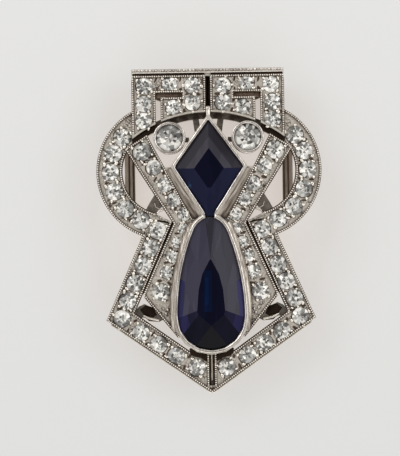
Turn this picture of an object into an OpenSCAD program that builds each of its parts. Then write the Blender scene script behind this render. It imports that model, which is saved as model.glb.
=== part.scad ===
// Clip brooch lying face up: a pierced and stone-set mount, its loose stones and a spring clip behind it.
// X runs across the brooch, Y from its apex to its fret panel, and the clip's back lies on Z = 0.
// Sizes in the plane are measured from the point on the axis where the two sapphires meet, or nearly so.

/* [Levels] */
// Thickness of the clip lever, whose flat back lies on the surface
lever_t = 1; // [0.8:0.1:1.1]
// Height of the lowest parts of the mount over the surface, which leaves room for the fabric
mount_z = 2.4; // [2.2:0.1:2.6]
// Height of the underside of the ring and skirt
frame_z = 4.4; // [4.2:0.1:4.6]
// How much higher the straps and flanks lie than the ring and skirt
strap_step = 0.2; // [0.1:0.05:0.3]
// How much higher the fret panel lies than the ring and skirt
panel_step = 0.6; // [0.5:0.05:0.7]
// Thickness of a stone-set plate inside its rims
plate_t = 1; // [0.95:0.05:1.1]
// Height of a rim over its plate
rim_h = 0.2; // [0.1:0.05:0.3]
// Width of a rim
rim_w = 0.22; // [0.16:0.02:0.24]

/* [Fret panel] */
// Half width of the panel
panel_half_w = 8.86; // [8.8:0.01:8.9]
// Top edge of the stone-set fret
panel_top = 18.16; // [18.1:0.01:18.2]
// Outer edge of the rail over the fret
rail_top = 18.9; // [18.8:0.05:19]
// Width of the rail, seen from the front
rail_w = 0.57; // [0.5:0.01:0.6]
// Crown of the arc that bounds the panel below
panel_arc_top = 13.85; // [13.8:0.01:13.9]
// Radius of that arc
panel_arc_r = 14.6; // [14.4:0.1:14.8]
// Half width of the slot between the two frets
slot_half_w = 0.28; // [0.25:0.01:0.3]
// Inner edge of a fret's outer column
column_x = 6.13; // [6.1:0.01:6.16]
// Outer edge of a fret's inner column
inner_column_x = 2.96; // [2.9:0.01:3]
// Outer edge of a fret's hook
hook_x = 5.49; // [5.46:0.01:5.52]
// Lower edge of a fret's top row
row_bottom = 16.17; // [16.1:0.01:16.2]
// Upper edge of a fret's hook
hook_top = 15.6; // [15.55:0.01:15.65]

/* [Ring and skirt] */
// Distance of a ring's centre from the axis
ring_x = 5.16; // [5.1:0.01:5.2]
// Height of a ring's centre up the brooch
ring_y = 7; // [6.95:0.01:7.05]
// Outer radius of the ring
ring_r = 7.96; // [7.9:0.01:8]
// Inner radius of the ring
ring_in_r = 5.03; // [5:0.01:5.06]
// Radius on which the ring's stones stand
ring_row_r = 6.37; // [6.35:0.01:6.4]
// Half width of the slot over the apex
apex_slot_half_w = 0.33; // [0.3:0.01:0.35]

/* [Large stones] */
// Half width of the kite sapphire
kite_half_w = 3.98; // [3.9:0.01:4]
// Largest half width of the pear sapphire
pear_half_w = 3.9; // [3.85:0.01:3.95]
// Diameter of a round diamond
round_d = 3.15; // [3.1:0.01:3.2]
// Height of the large stones' girdles
girdle_z = 6.35; // [6.3:0.05:6.5]
// Wall of the bezel round the kite sapphire
kite_bezel_w = 0.38; // [0.35:0.01:0.4]
// Wall of the bezel round the pear sapphire
pear_bezel_w = 0.48; // [0.45:0.01:0.5]
// Wall of the bezels round the round diamonds
round_bezel_w = 0.25; // [0.23:0.01:0.27]

/* [Small stones] */
// Diameter of the stones of the ring and skirt
skirt_stone_d = 2; // [1.9:0.05:2.05]
// Diameter of the stones of the frets
fret_stone_d = 1.8; // [1.7:0.05:1.85]

/* [Clip] */
// Inner edge of a side arm
arm_x = 8.8; // [8.75:0.01:8.85]
// Width of a side arm
arm_w = 1.2; // [1.1:0.01:1.25]
// Radius of the hinge barrel
barrel_r = 1; // [0.9:0.05:1.05]
// Radius of the hinge pin
pin_r = 0.45; // [0.4:0.05:0.5]

/* [Hidden] */
$fn = 48;

METAL = [0.78, 0.75, 0.71];
SAPPHIRE = [0.07, 0.07, 0.2];
DIAMOND = [0.86, 0.9, 0.9];

// Columns of the tables of stones
STONE_X = 0;
STONE_Y = 1;
STONE_D = 2;

// Stones of one fret: place across and up the brooch, and diameter
FRET_STONES = [
    [7.38, 16.98, fret_stone_d],
    [4.5, 17.15, fret_stone_d - 0.1],
    [1.78, 16.95, fret_stone_d],
    [7.5, 14.9, fret_stone_d],
    [1.74, 14.93, fret_stone_d],
    [4.02, 14.42, fret_stone_d - 0.1],
    [7.53, 12.9, fret_stone_d],
];
// Stones of one side of the ring: turn from the level outward direction, in degrees
RING_TURNS = [39.5, 20, 0, -21, -42.5, -63.5];
// Stones of one strap, from its square end to the waist
STRAP_STONES = [
    [7.8, 9.37, 2.15],
    [6.45, 7.48, 1.8],
    [5.16, 5.46, 1.75],
    [4.13, 3.67, 1.65],
    [2.98, 1.98, 1.6],
];
// Stones of one flank, from the waist down
FLANK_STONES = [
    [3.08, 0.3, 1.2],
    [3.8, -1.3, 1.25],
    [4.42, -3, 1.4],
    [5.08, -4.78, 1.45],
    [5.8, -7.12, 1.95],
];
// Stones of one side of the skirt, from the ring round the corner to the apex
SKIRT_STONES = [
    [6.07, 0.1, skirt_stone_d],
    [6.98, -1.95, skirt_stone_d],
    [7.86, -4, skirt_stone_d],
    [8.82, -6.04, skirt_stone_d],
    [9.74, -8.05, skirt_stone_d],
    [10.45, -10.13, skirt_stone_d],
    [8.24, -11.8, skirt_stone_d],
    [6.2, -13.24, skirt_stone_d],
    [4.17, -14.6, skirt_stone_d],
    [1.75, -15.95, skirt_stone_d],
];

// Clearance round a stone in its seat, and between the pin and its lugs
clear = 0.04;
// Proportions of a round stone, as parts of its radius
TABLE_PART = 0.56;
CROWN_PART = 0.3;
PAVILION_PART = 0.84;
GIRDLE_PART = 0.03;
// How deep the girdle of a small stone lies under its plate's face
girdle_drop = 0.06;
// How far a cutting shape runs past what it cuts, and an outline over the axis
cut = 1;

frame_face = frame_z + plate_t;
strap_face = frame_face + strap_step;
panel_face = frame_face + panel_step;
panel_arc_y = panel_arc_top - panel_arc_r;
panel_z = frame_z + panel_step;
// Bezels of the large stones and the ledges inside them
bezel_top = girdle_z + 0.4;
bezel_z = mount_z + 0.8;
ledge_w = 0.5;
ledge_z = girdle_z - 0.6;
round_d_x = 4.56;
round_d_y = 10.85;
round_girdle_z = girdle_z - 0.15;
round_bezel_z = frame_z - 0.2;
round_bezel_top = round_girdle_z + 0.3;
// Joins between the rail and the fret: ends, middle and beads of solder
join_w = 0.3;
middle_join_half_w = 0.7;
solder_r = 0.16;
solder_x = 4.15;
// Bar behind the lower edge of the panel: how far it reaches over and under that edge, and its half length
arch_lap = 0.3;
arch_drop = 0.7;
arch_half_l = 8.7;
arch_z = frame_z - 0.6;
tie_z = frame_z - 0.3;
tie_top = frame_z + 0.55;
// Webs between the straps or flanks and the ring or skirt
web_z = bezel_z + 0.15;
web_top = frame_z + 0.4;
// Wall between the slot over the apex and the apex, and the strip that closes the slot behind
apex_wall = 0.8;
apex_back_half_w = 0.75;
apex_back_t = 0.5;
apex_bar_half_w = 0.12;
// How far the strips behind the slots beside the flanks reach into the flanks' plates
slot_back_lap = 0.1;
// Hinge of the clip: its axis, and the ears that hold its pin
hinge_y = 16.9;
hinge_z = 1.6;
hinge_gap = 0.1;
lug_r = 1;
lug_x = 7.35;
lug_w = 0.9;
// Clip lever, from the hinge to the prongs
plate_low_y = 15.9;
shoulder_in_x = 6.5;
shoulder_x = 8.6;
shoulder_y = 13;
arm_top_y = 12;
arm_low_y = 2.2;
bend_r = 6.5;
bend_w = 1.1;
prong_x = 1.9;
prong_w = 1.4;
prong_y = -10;
tongue_half_w = 2.2;
tongue_y = 13.95;

// Corners of one strap: square end inside and outside, then where its inner edge meets the waist
STRAP_IN = [7.2, 11.27];
STRAP_OUT = [9.76, 9.68];
STRAP_END = [2.08, 1.5];
// Corners of one flank: waist, side and foot
WAIST = [4.2, 0.9];
FLANK_SIDE = [7.92, -7.42];
FLANK_FOOT = [3.86, -12.4];
// Corners of one side of the skirt
SKIRT_WAIST = [4.4, 1.1];
SKIRT_CORNER = [12.25, -10.3];
SKIRT_INSIDE = [9, -9.55];
SKIRT_UNDER_PEAR = [2.6, -14.1];
APEX = [0, -rail_top];
ring_low_turn = -75.7;
ring_notch_turn = -71.2;
ring_lap_turn = -50;
ring_high_turn = 70;

// Outline of a web behind a strap, of a web behind a flank and of a strut at the kite's top
STRAP_WEB = [[4.9, 3.6], [6.45, 4.25], [7.05, 3.3], [7.6, 2.3], [7.1, 1.2], [6.3, 1.5], [6.1, 2.4], [5.5, 2.95],
             [4.7, 3]];
FLANK_WEB = [[5.6, -9.7], [6.9, -9], [7.8, -8.5], [8.5, -8.8], [9.2, -9.6], [8.4, -10.2], [7.8, -10],
             [7.3, -10.5], [6.1, -10.6], [5.3, -10.2]];
KITE_STRUT = [[1.15, 13.4], [1.85, 13.3], [1.6, 11.6], [0.9, 11.9]];
// Outline of the strip behind the slot between a flank and the skirt
SLOT_BACK = [[3.9, 1.3], [4.8, 1], [8.5, -7.35], [7.5, -7.15]];

// Kite sapphire: its corners down the right side, with the lower one cut off where it meets the pear
KITE_TOP = 12.9;
KITE_SIDE_Y = 7.48;
KITE_FOOT = 1.12;
KITE_CUT = 1.74;
KITE_TABLE = [[0, 9.58], [1.73, 7.25], [0.1, 5], [-0.1, 5], [-1.73, 7.25]];

// Pear sapphire: round end, long side arc and shoulder arc, which run into each other smoothly
PEAR_END_Y = -10;
PEAR_SIDE_R = 26.8;
PEAR_SHOULDER_R = 2.6;
PEAR_SHOULDER_TURN = 22;
PEAR_TOP = 1.6;
PEAR_TABLE_SCALE = [0.4, 0.5];
PEAR_MIDDLE_Y = -8.2;
NECK_HALF_W = 0.53;

// Points on an arc, its start and end included
function arc(centre, r, from, to, steps) =
    [for (i = [0:steps]) centre + r * [cos(from + (to - from) * i / steps), sin(from + (to - from) * i / steps)]];

function ring_point(r, turn) = [ring_x + r * cos(turn), ring_y + r * sin(turn)];

function flip(points) = [for (i = [len(points) - 1:-1:0]) [-points[i].x, points[i].y]];

// Unit vector square to the edge that leaves a point of a clockwise outline, pointing inside
function inward(from, to) = let (edge = (to - from) / norm(to - from)) [edge.y, -edge.x];

// A clockwise outline drawn in by a distance, with mitred corners
function inset(points, d) = [
    for (i = [0:len(points) - 1])
        let (
            before = points[(i + len(points) - 1) % len(points)],
            after = points[(i + 1) % len(points)],
            n0 = inward(before, points[i]),
            n1 = inward(points[i], after)
        )
        points[i] + d * (n0 + n1) / (1 + n0 * n1)
];

KITE_CORNERS = [[0, KITE_TOP], [kite_half_w, KITE_SIDE_Y], [0, KITE_FOOT], [-kite_half_w, KITE_SIDE_Y]];
kite_cut_half_w = kite_half_w * (KITE_CUT - KITE_FOOT) / (KITE_SIDE_Y - KITE_FOOT);

// Kite with its foot cut off, grown outward by a distance
function kite_outline(grow) = inset([
    KITE_CORNERS[0], KITE_CORNERS[1], [kite_cut_half_w, KITE_CUT], [-kite_cut_half_w, KITE_CUT], KITE_CORNERS[3],
], -grow);

// Right side of the pear from its top down to its round end, grown outward by a distance
function pear_side(grow) = let (
        side_x = pear_half_w - PEAR_SIDE_R,
        shoulder = [side_x, PEAR_END_Y]
            + (PEAR_SIDE_R - PEAR_SHOULDER_R) * [cos(PEAR_SHOULDER_TURN), sin(PEAR_SHOULDER_TURN)],
        top_turn = asin((PEAR_TOP + grow - shoulder.y) / (PEAR_SHOULDER_R + grow))
    )
    concat(
        arc(shoulder, PEAR_SHOULDER_R + grow, top_turn, PEAR_SHOULDER_TURN, 3),
        arc([side_x, PEAR_END_Y], PEAR_SIDE_R + grow, PEAR_SHOULDER_TURN * 0.75, 0, 3),
        arc([0, PEAR_END_Y], pear_half_w + grow, -22.5, -67.5, 2)
    );

function pear_outline(grow) = concat(pear_side(grow), [[0, PEAR_END_Y - pear_half_w - grow]], flip(pear_side(grow)));

module both_sides() {
    children();
    mirror([1, 0, 0]) children();
}

// Prism over a flat shape between two heights
module slab(low, high) {
    translate([0, 0, low]) linear_extrude(high - low) children();
}

module block(x0, x1, y0, y1) {
    translate([x0, y0]) square([x1 - x0, y1 - y0]);
}

// Both frets, drawn in by a distance
module fret_shape(d) {
    difference() {
        both_sides() {
            block(slot_half_w + d, panel_half_w - d, row_bottom + d, panel_top - d);
            block(column_x + d, panel_half_w - d, ring_y, panel_top - d);
            block(slot_half_w + d, inner_column_x - d, ring_y, panel_top - d);
            block(slot_half_w + d, hook_x - d, ring_y, hook_top - d);
        }
        translate([0, panel_arc_y]) circle(panel_arc_r + d);
    }
}

// Right half of the ring and skirt, drawn in by a distance
module half_frame_shape(d) {
    reach = 3 * ring_r;
    difference() {
        translate([ring_x, ring_y]) circle(ring_r - d);
        translate([ring_x, ring_y]) circle(ring_in_r + d);
        polygon([ring_point(0, 0), ring_point(reach, ring_high_turn), ring_point(reach, 135),
                 ring_point(reach, 225), ring_point(reach, ring_low_turn)]);
    }
    polygon(inset([
        SKIRT_WAIST,
        ring_point(ring_in_r, ring_low_turn),
        ring_point(ring_r, ring_lap_turn),
        ring_point(ring_r, ring_notch_turn),
        SKIRT_CORNER,
        APEX,
        [-cut, APEX.y + cut * (SKIRT_CORNER.y - APEX.y) / SKIRT_CORNER.x],
        [-cut, SKIRT_UNDER_PEAR.y],
        SKIRT_UNDER_PEAR,
        SKIRT_INSIDE,
    ], d));
}

// Ring and skirt, drawn in by a distance, with the slot over the apex widened by it
module frame_shape(d) {
    difference() {
        both_sides() intersection() {
            half_frame_shape(d);
            block(0, 2 * ring_r, APEX.y, 2 * ring_r);
        }
        block(-apex_slot_half_w - d, apex_slot_half_w + d, APEX.y + apex_wall - d, SKIRT_UNDER_PEAR.y - d);
    }
}

function strap_edge(y) = STRAP_IN + (STRAP_END - STRAP_IN) * (y - STRAP_IN.y) / (STRAP_END.y - STRAP_IN.y);

// Straps and flanks with the aprons between the straps and the kite
module strap_shape() {
    both_sides() polygon([STRAP_IN, STRAP_OUT, WAIST, FLANK_SIDE, FLANK_FOOT,
                          [0, FLANK_FOOT.y], [0, KITE_SIDE_Y], strap_edge(KITE_SIDE_Y)]);
}

// The stone-set field of the straps and flanks, inside their rims
module strap_field() {
    both_sides() polygon(inset([STRAP_IN, STRAP_OUT, WAIST, FLANK_SIDE, FLANK_FOOT,
                                [-cut, FLANK_FOOT.y], [-cut, STRAP_END.y], STRAP_END], rim_w));
}

// Outline of both sapphires, each grown outward by a distance of its own
module sapphire_shape(kite_grow, pear_grow) {
    polygon(kite_outline(kite_grow));
    polygon(pear_outline(pear_grow));
}

// Hollow for both sapphires: straight walls that meet at the neck, over ledges with a hole through each
module sapphire_seats() {
    slab(ledge_z, bezel_top + cut) {
        sapphire_shape(clear, clear);
        block(-NECK_HALF_W, NECK_HALF_W, PEAR_TOP - 0.3, KITE_CUT + 0.3);
    }
    slab(bezel_z - cut, ledge_z + 0.1) {
        polygon(inset(KITE_CORNERS, ledge_w));
        polygon(pear_outline(-ledge_w));
    }
}

// Hollow for a round stone: a straight wall over a cone that follows its underside, and a hole through
module seat(d, z) {
    r = d / 2 + clear;
    hole_r = 0.35 * r;
    depth = PAVILION_PART * (r - hole_r);
    translate([0, 0, z]) rotate_extrude() polygon([
        [0, mount_z - z],
        [hole_r, mount_z - z],
        [hole_r, -depth],
        [r, -GIRDLE_PART * r],
        [r, 2 * cut],
        [0, 2 * cut],
    ]);
}

// Round cut stone with its girdle at Z = 0: 12 crown facets, a table and 12 facets below
module round_stone(d) {
    r = d / 2;
    rotate_extrude($fn = 12) polygon([
        [0, -PAVILION_PART * r],
        [r, -GIRDLE_PART * r],
        [r, GIRDLE_PART * r],
        [TABLE_PART * r, CROWN_PART * r],
        [0, CROWN_PART * r],
    ]);
}

// Stone of stacked outlines: each row is a height and an outline, all with the same number of points
module stacked_stone(rows) {
    n = len(rows[0][1]);
    polyhedron(
        points = [for (row = rows) for (p = row[1]) [p.x, p.y, row[0]]],
        faces = concat(
            [[for (i = [0:n - 1]) i]],
            [for (r = [0:len(rows) - 2]) for (i = [0:n - 1])
                [r * n + i, (r + 1) * n + i, r * n + (i + 1) % n]],
            [for (r = [0:len(rows) - 2]) for (i = [0:n - 1])
                [r * n + (i + 1) % n, (r + 1) * n + i, (r + 1) * n + (i + 1) % n]],
            [[for (i = [n - 1:-1:0]) (len(rows) - 1) * n + i]]
        )
    );
}

function squeeze(points, middle, by) = [for (p = points) [p.x * by.x, middle + (p.y - middle) * by.y]];

// Every stone of one table, on both sides
module stone_field(stones, face) {
    color(DIAMOND) both_sides() for (s = stones) {
        translate([s[STONE_X], s[STONE_Y], face - girdle_drop]) round_stone(s[STONE_D]);
    }
}

module seats(stones, face) {
    both_sides() for (s = stones) {
        translate([s[STONE_X], s[STONE_Y], 0]) seat(s[STONE_D], face - girdle_drop);
    }
}

function ring_stones() = [for (turn = RING_TURNS) concat(ring_point(ring_row_r, turn), skirt_stone_d)];

// A plate with a raised rim: the first child is its outline and the second its sunk field
module rimmed_plate(low) {
    difference() {
        slab(low, low + plate_t + rim_h) children(0);
        slab(low + plate_t, low + plate_t + cut) children(1);
    }
}

// Bar over the fret, held at its ends, at the middle and by two beads of solder
module rail() {
    rail_low = rail_top - rail_w;
    slab(arch_z, panel_face + rim_h) block(-panel_half_w, panel_half_w, rail_low, rail_top);
    slab(panel_z, panel_face + rim_h / 2) {
        both_sides() {
            block(panel_half_w - join_w, panel_half_w - clear, panel_top - rim_w / 2, rail_low + rim_w / 2);
            translate([solder_x, (panel_top + rail_low) / 2]) circle(solder_r);
        }
        block(-middle_join_half_w, middle_join_half_w, panel_top - rim_w / 2, rail_low + rim_w / 2);
    }
}

// Dark bar behind the lower edge of the panel, with the struts that tie the large stones to it
module rear_arch() {
    slab(arch_z, panel_z + clear) intersection() {
        difference() {
            translate([0, panel_arc_y]) circle(panel_arc_r + arch_lap);
            translate([0, panel_arc_y]) circle(panel_arc_r - arch_drop);
        }
        block(-arch_half_l, arch_half_l, ring_y, panel_top);
    }
    slab(tie_z, tie_top) both_sides() {
        polygon(KITE_STRUT);
        block(round_d_x / 2, round_d_x - round_d / 2 + clear, round_d_y - 0.45, round_d_y + 0.1);
    }
    slab(frame_z, panel_face) translate([0, panel_arc_top + slot_half_w]) circle(slot_half_w + 0.1);
}

// Webs under the open work that tie the straps and flanks to the ring and skirt
module webs() {
    slab(web_z, web_top) both_sides() {
        polygon(STRAP_WEB);
        polygon(FLANK_WEB);
    }
}

// Strip that closes the slot over the apex from behind, with a narrow bar standing in the slot
module apex_back() {
    low = APEX.y + apex_wall - 0.1;
    high = SKIRT_UNDER_PEAR.y + 0.1;
    slab(frame_z - apex_back_t, frame_z + 0.1) block(-apex_back_half_w, apex_back_half_w, low, high);
    slab(frame_z, frame_z + apex_back_t) block(-apex_bar_half_w, apex_bar_half_w, low, high);
}

// Strips that close the slots between the flanks and the skirt from behind
module slot_backs() {
    slab(frame_z - apex_back_t, frame_z + strap_step + slot_back_lap) both_sides() polygon(SLOT_BACK);
}

// Ears behind the outer columns that hold the hinge pin
module lugs() {
    both_sides() translate([lug_x, hinge_y, hinge_z]) difference() {
        union() {
            translate([0, -lug_r, 0]) cube([lug_w, 2 * lug_r, panel_z + rim_h - hinge_z]);
            rotate([0, 90, 0]) cylinder(h = lug_w, r = lug_r);
        }
        translate([-cut, 0, 0]) rotate([0, 90, 0]) cylinder(h = lug_w + 2 * cut, r = pin_r + clear);
    }
}

module round_bezels() {
    both_sides() translate([round_d_x, round_d_y, round_bezel_z])
        cylinder(h = round_bezel_top - round_bezel_z, d = round_d + 2 * (clear + round_bezel_w));
}

module mount() {
    color(METAL) difference() {
        union() {
            rimmed_plate(frame_z) {
                frame_shape(0);
                frame_shape(rim_w);
            }
            rimmed_plate(frame_z + strap_step) {
                strap_shape();
                strap_field();
            }
            rimmed_plate(panel_z) {
                fret_shape(0);
                fret_shape(rim_w);
            }
            slab(bezel_z, bezel_top) sapphire_shape(clear + kite_bezel_w, clear + pear_bezel_w);
            round_bezels();
            rail();
            rear_arch();
            webs();
            apex_back();
            slot_backs();
            lugs();
        }
        sapphire_seats();
        both_sides() translate([round_d_x, round_d_y, 0]) seat(round_d, round_girdle_z);
        seats(FRET_STONES, panel_face);
        seats(ring_stones(), frame_face);
        seats(STRAP_STONES, strap_face);
        seats(FLANK_STONES, strap_face);
        seats(SKIRT_STONES, frame_face);
    }
}

// Right half of the clip lever, flat: shoulder, side arm, bend behind the ring, cross bar and prong
module half_lever_shape() {
    arm_out_x = arm_x + arm_w;
    block(shoulder_in_x, shoulder_x, shoulder_y, hinge_y - lug_r - 2 * hinge_gap);
    block(shoulder_in_x, lug_x - hinge_gap, shoulder_y, hinge_y);
    polygon([[shoulder_in_x, shoulder_y], [shoulder_x, shoulder_y], [arm_out_x, arm_top_y],
             [arm_out_x, arm_low_y], [arm_x, arm_low_y], [arm_x, arm_top_y - arm_w]]);
    intersection() {
        difference() {
            translate([ring_x, ring_y]) circle(bend_r + bend_w / 2);
            translate([ring_x, ring_y]) circle(bend_r - bend_w / 2);
        }
        block(ring_x, arm_out_x, ring_y - ring_r, arm_low_y + cut);
    }
    block(-cut, ring_x + clear, ring_y - bend_r - bend_w / 2, ring_y - bend_r + bend_w / 2);
    block(prong_x - prong_w / 2, prong_x + prong_w / 2, prong_y, ring_y - bend_r);
    translate([prong_x, prong_y]) circle(d = prong_w);
    polygon([[-cut, tongue_y], [tongue_half_w, tongue_y], [shoulder_in_x + clear, plate_low_y],
             [shoulder_in_x + clear, hinge_y], [-cut, hinge_y]]);
    block(-cut, lug_x - hinge_gap, plate_low_y, hinge_y + lug_r);
}

// Spring clip: the lever, and the barrel and pin of its hinge
module clip() {
    color(METAL) {
        slab(0, lever_t) both_sides() half_lever_shape();
        translate([0, hinge_y, hinge_z]) rotate([0, 90, 0]) {
            cylinder(h = 2 * (lug_x - hinge_gap), r = barrel_r, center = true);
            cylinder(h = 2 * (lug_x + lug_w), r = pin_r, center = true);
        }
    }
}

module kite_sapphire() {
    outline = kite_outline(0);
    color(SAPPHIRE) hull() stacked_stone([
        [girdle_z + 0.95, KITE_TABLE],
        [girdle_z + 0.08, outline],
        [girdle_z - 0.08, outline],
        [girdle_z - 1.5, squeeze(outline, KITE_SIDE_Y, [0.5, 0.5])],
        [girdle_z - 2.3, squeeze(outline, KITE_SIDE_Y, [0.05, 0.2])],
    ]);
}

module pear_sapphire() {
    outline = pear_outline(0);
    color(SAPPHIRE) stacked_stone([
        [girdle_z + 0.95, squeeze(outline, PEAR_MIDDLE_Y, PEAR_TABLE_SCALE)],
        [girdle_z + 0.08, outline],
        [girdle_z - 0.08, outline],
        [girdle_z - 1.5, squeeze(outline, PEAR_MIDDLE_Y, [0.5, 0.6])],
        [girdle_z - 2.4, squeeze(outline, PEAR_MIDDLE_Y, [0.05, 0.3])],
    ]);
}

module round_diamond_left() {
    color(DIAMOND) translate([-round_d_x, round_d_y, round_girdle_z]) round_stone(round_d);
}

module round_diamond_right() {
    color(DIAMOND) translate([round_d_x, round_d_y, round_girdle_z]) round_stone(round_d);
}

module fret_diamonds() stone_field(FRET_STONES, panel_face);

module ring_diamonds() stone_field(ring_stones(), frame_face);

module strap_diamonds() stone_field(STRAP_STONES, strap_face);

module flank_diamonds() stone_field(FLANK_STONES, strap_face);

module skirt_diamonds() stone_field(SKIRT_STONES, frame_face);

mount();
clip();
kite_sapphire();
pear_sapphire();
round_diamond_left();
round_diamond_right();
fret_diamonds();
ring_diamonds();
strap_diamonds();
flank_diamonds();
skirt_diamonds();
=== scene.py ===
"""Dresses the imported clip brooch: cut stones, milgrain, grains, bezel lips, metal finishes and a soft studio.

Sizes are in millimetres in the brooch's own frame, with X across it, Y up it and Z out of its face. They repeat
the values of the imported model, because every piece made here sits on a solid of that model.
"""

from __future__ import annotations

import logging
import math
import random
from collections.abc import Callable, Iterable, Iterator
from contextlib import contextmanager
from dataclasses import dataclass
from enum import Enum
from typing import Any

import bmesh
import bpy
from mathutils import Matrix, Vector

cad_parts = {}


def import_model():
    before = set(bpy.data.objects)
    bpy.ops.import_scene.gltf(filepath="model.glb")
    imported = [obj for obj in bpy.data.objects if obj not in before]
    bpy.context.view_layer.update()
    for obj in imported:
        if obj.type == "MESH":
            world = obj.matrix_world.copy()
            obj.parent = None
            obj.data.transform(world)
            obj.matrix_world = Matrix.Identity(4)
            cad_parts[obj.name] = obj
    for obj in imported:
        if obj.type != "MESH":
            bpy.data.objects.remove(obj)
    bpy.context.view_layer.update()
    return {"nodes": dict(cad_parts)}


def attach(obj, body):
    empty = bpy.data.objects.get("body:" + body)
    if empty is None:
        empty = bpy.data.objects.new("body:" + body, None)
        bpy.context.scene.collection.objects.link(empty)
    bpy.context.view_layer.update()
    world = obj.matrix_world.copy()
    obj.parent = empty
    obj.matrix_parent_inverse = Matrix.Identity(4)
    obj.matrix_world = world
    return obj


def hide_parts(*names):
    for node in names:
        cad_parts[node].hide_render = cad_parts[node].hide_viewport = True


Flat = tuple[float, float]
Triple = tuple[float, float, float]
Ramp = tuple[float, float, float, float]
Piece = bpy.types.Object
Socket = bpy.types.NodeSocket

MM = 0.001
# The colour layer of each facet, which holds its painted light as well as its colour.
FACET_LIGHT_AND_COLOUR = "facet_light_and_colour"
BLADE_WIDTH = 1e-7
WELD_REACH = 1e-6
SLAB_SOFTNESS = 0.05 * MM
SLAB_CREASE, WIRE_CREASE, BEAD_CREASE = (math.radians(turn) for turn in (40, 50, 60))
LEVEL_FACE = 0.999
DISPLAY_TOP, TOE_END, TOE_SLOPE, TONE_LIFT, TONE_POWER = 255, 0.04045, 12.92, 0.055, 2.4
MATERIALS: dict[str, bpy.types.Material] = {}

log = logging.getLogger("brooch")


class MetalSlot(Enum):
    """Names of the brooch's material slots."""

    PLATINUM = "platinum"
    WHITE_GOLD = "white_gold"
    SAPPHIRE = "sapphire"
    DIAMOND = "diamond"


class Side(Enum):
    """The two mirrored halves of the brooch, seen from the front."""

    LEFT = -1
    RIGHT = 1

    def place(self, point: Flat) -> Flat:
        """Return a point of the right half moved to this side."""
        return (self.value * point[0], point[1])

    def named(self, name: str) -> str:
        """Return the name of this side's piece of a pair."""
        return f"{name}_{self.name.lower()}"


@dataclass(frozen=True)
class Levels:
    """Heights and the rim width of the mount."""

    frame_face: float = 5.4
    strap_face: float = 5.6
    panel_face: float = 6.0
    frame_rim: float = 5.6
    strap_rim: float = 5.8
    panel_rim: float = 6.2
    rim_w: float = 0.22
    girdle: float = 6.35
    table: float = 7.3
    bezel_top: float = 6.75
    round_girdle: float = 6.2
    round_bezel_top: float = 6.5


@dataclass(frozen=True)
class Plan:
    """The mount's right half in plan, which its rims, edges and stones follow, its outlines clockwise."""

    ring_centre: Flat = (5.16, 7.0)
    ring_r: float = 7.96
    ring_in_r: float = 5.03
    ring_turns: tuple[float, float, int] = (71, -71, 60)
    ring_in_turns: tuple[float, float, int] = (38, -75, 40)
    strap: tuple[Flat, ...] = (
        (7.2, 11.27), (9.76, 9.68), (4.2, 0.9), (7.92, -7.42), (3.86, -12.4), (0.0, -12.4), (0.0, 1.5), (2.08, 1.5),
    )
    skirt: tuple[Flat, ...] = (
        (4.4, 1.1), (6.4, 2.13), (12.25, -10.3), (0.0, -18.9), (0.0, -14.1), (2.6, -14.1), (9.0, -9.55),
    )
    round_bezel: Flat = (4.56, 10.85)


LEVELS = Levels()
PLAN = Plan()


def srgb(*channels: float) -> Triple:
    """Return a linear colour for one given in display values.

    Args:
        *channels: Red, green and blue, from 0 to 255.

    Returns:
        The three linear channels.
    """
    shares = (channel / DISPLAY_TOP for channel in channels)
    return tuple(
        share / TOE_SLOPE if share <= TOE_END else ((share + TONE_LIFT) / (1 + TONE_LIFT)) ** TONE_POWER
        for share in shares
    )


def at(point: Flat, height: float) -> Vector:
    """Return a point of the plan at a height, in metres."""
    return Vector((point[0], point[1], height)) * MM


def raised(line: Iterable[Flat], height: float, side: Side = Side.RIGHT) -> list[Vector]:
    """Return a line of the right half at a height on one side, in metres."""
    return [at(side.place(point), height) for point in line]


def direction(turn: float) -> Vector:
    """Return the level unit vector at a turn in degrees from +X."""
    return Vector((math.cos(math.radians(turn)), math.sin(math.radians(turn)), 0.0))


def pose(home: Vector, turn: float, *size: float) -> Matrix:
    """Return the matrix that scales a pattern, turns it about Z by radians and moves it to its home."""
    return Matrix.Translation(home) @ Matrix.Rotation(turn, 4, "Z") @ Matrix.Diagonal((*size, 1))


def arc(centre: Flat, radius: float, first: float, last: float, steps: int) -> list[Flat]:
    """Return points on an arc.

    Args:
        centre: Centre of the arc.
        radius: Radius of the arc.
        first: Turn of the first point, in degrees.
        last: Turn of the last point, in degrees.
        steps: Number of stretches between the points.

    Returns:
        The points in order, both ends included.
    """
    turns = [math.radians(first + (last - first) * step / steps) for step in range(steps + 1)]
    return [(centre[0] + radius * math.cos(turn), centre[1] + radius * math.sin(turn)) for turn in turns]


def inset(points: Iterable[Flat], distance: float) -> list[Flat]:
    """Draw a clockwise outline in by a distance, with mitred corners.

    Args:
        points: Corners of the outline, clockwise.
        distance: How far to draw it in. A negative distance grows it.

    Returns:
        The corners of the new outline.
    """
    corners = [Vector(point) for point in points]
    drawn = []
    for index, here in enumerate(corners):
        into = (here - corners[index - 1]).normalized()
        out = (corners[(index + 1) % len(corners)] - here).normalized()
        first, second = Vector((into.y, -into.x)), Vector((out.y, -out.x))
        drawn.append(tuple(here + (first + second) * (distance / (1 + first.dot(second)))))
    return drawn


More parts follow.
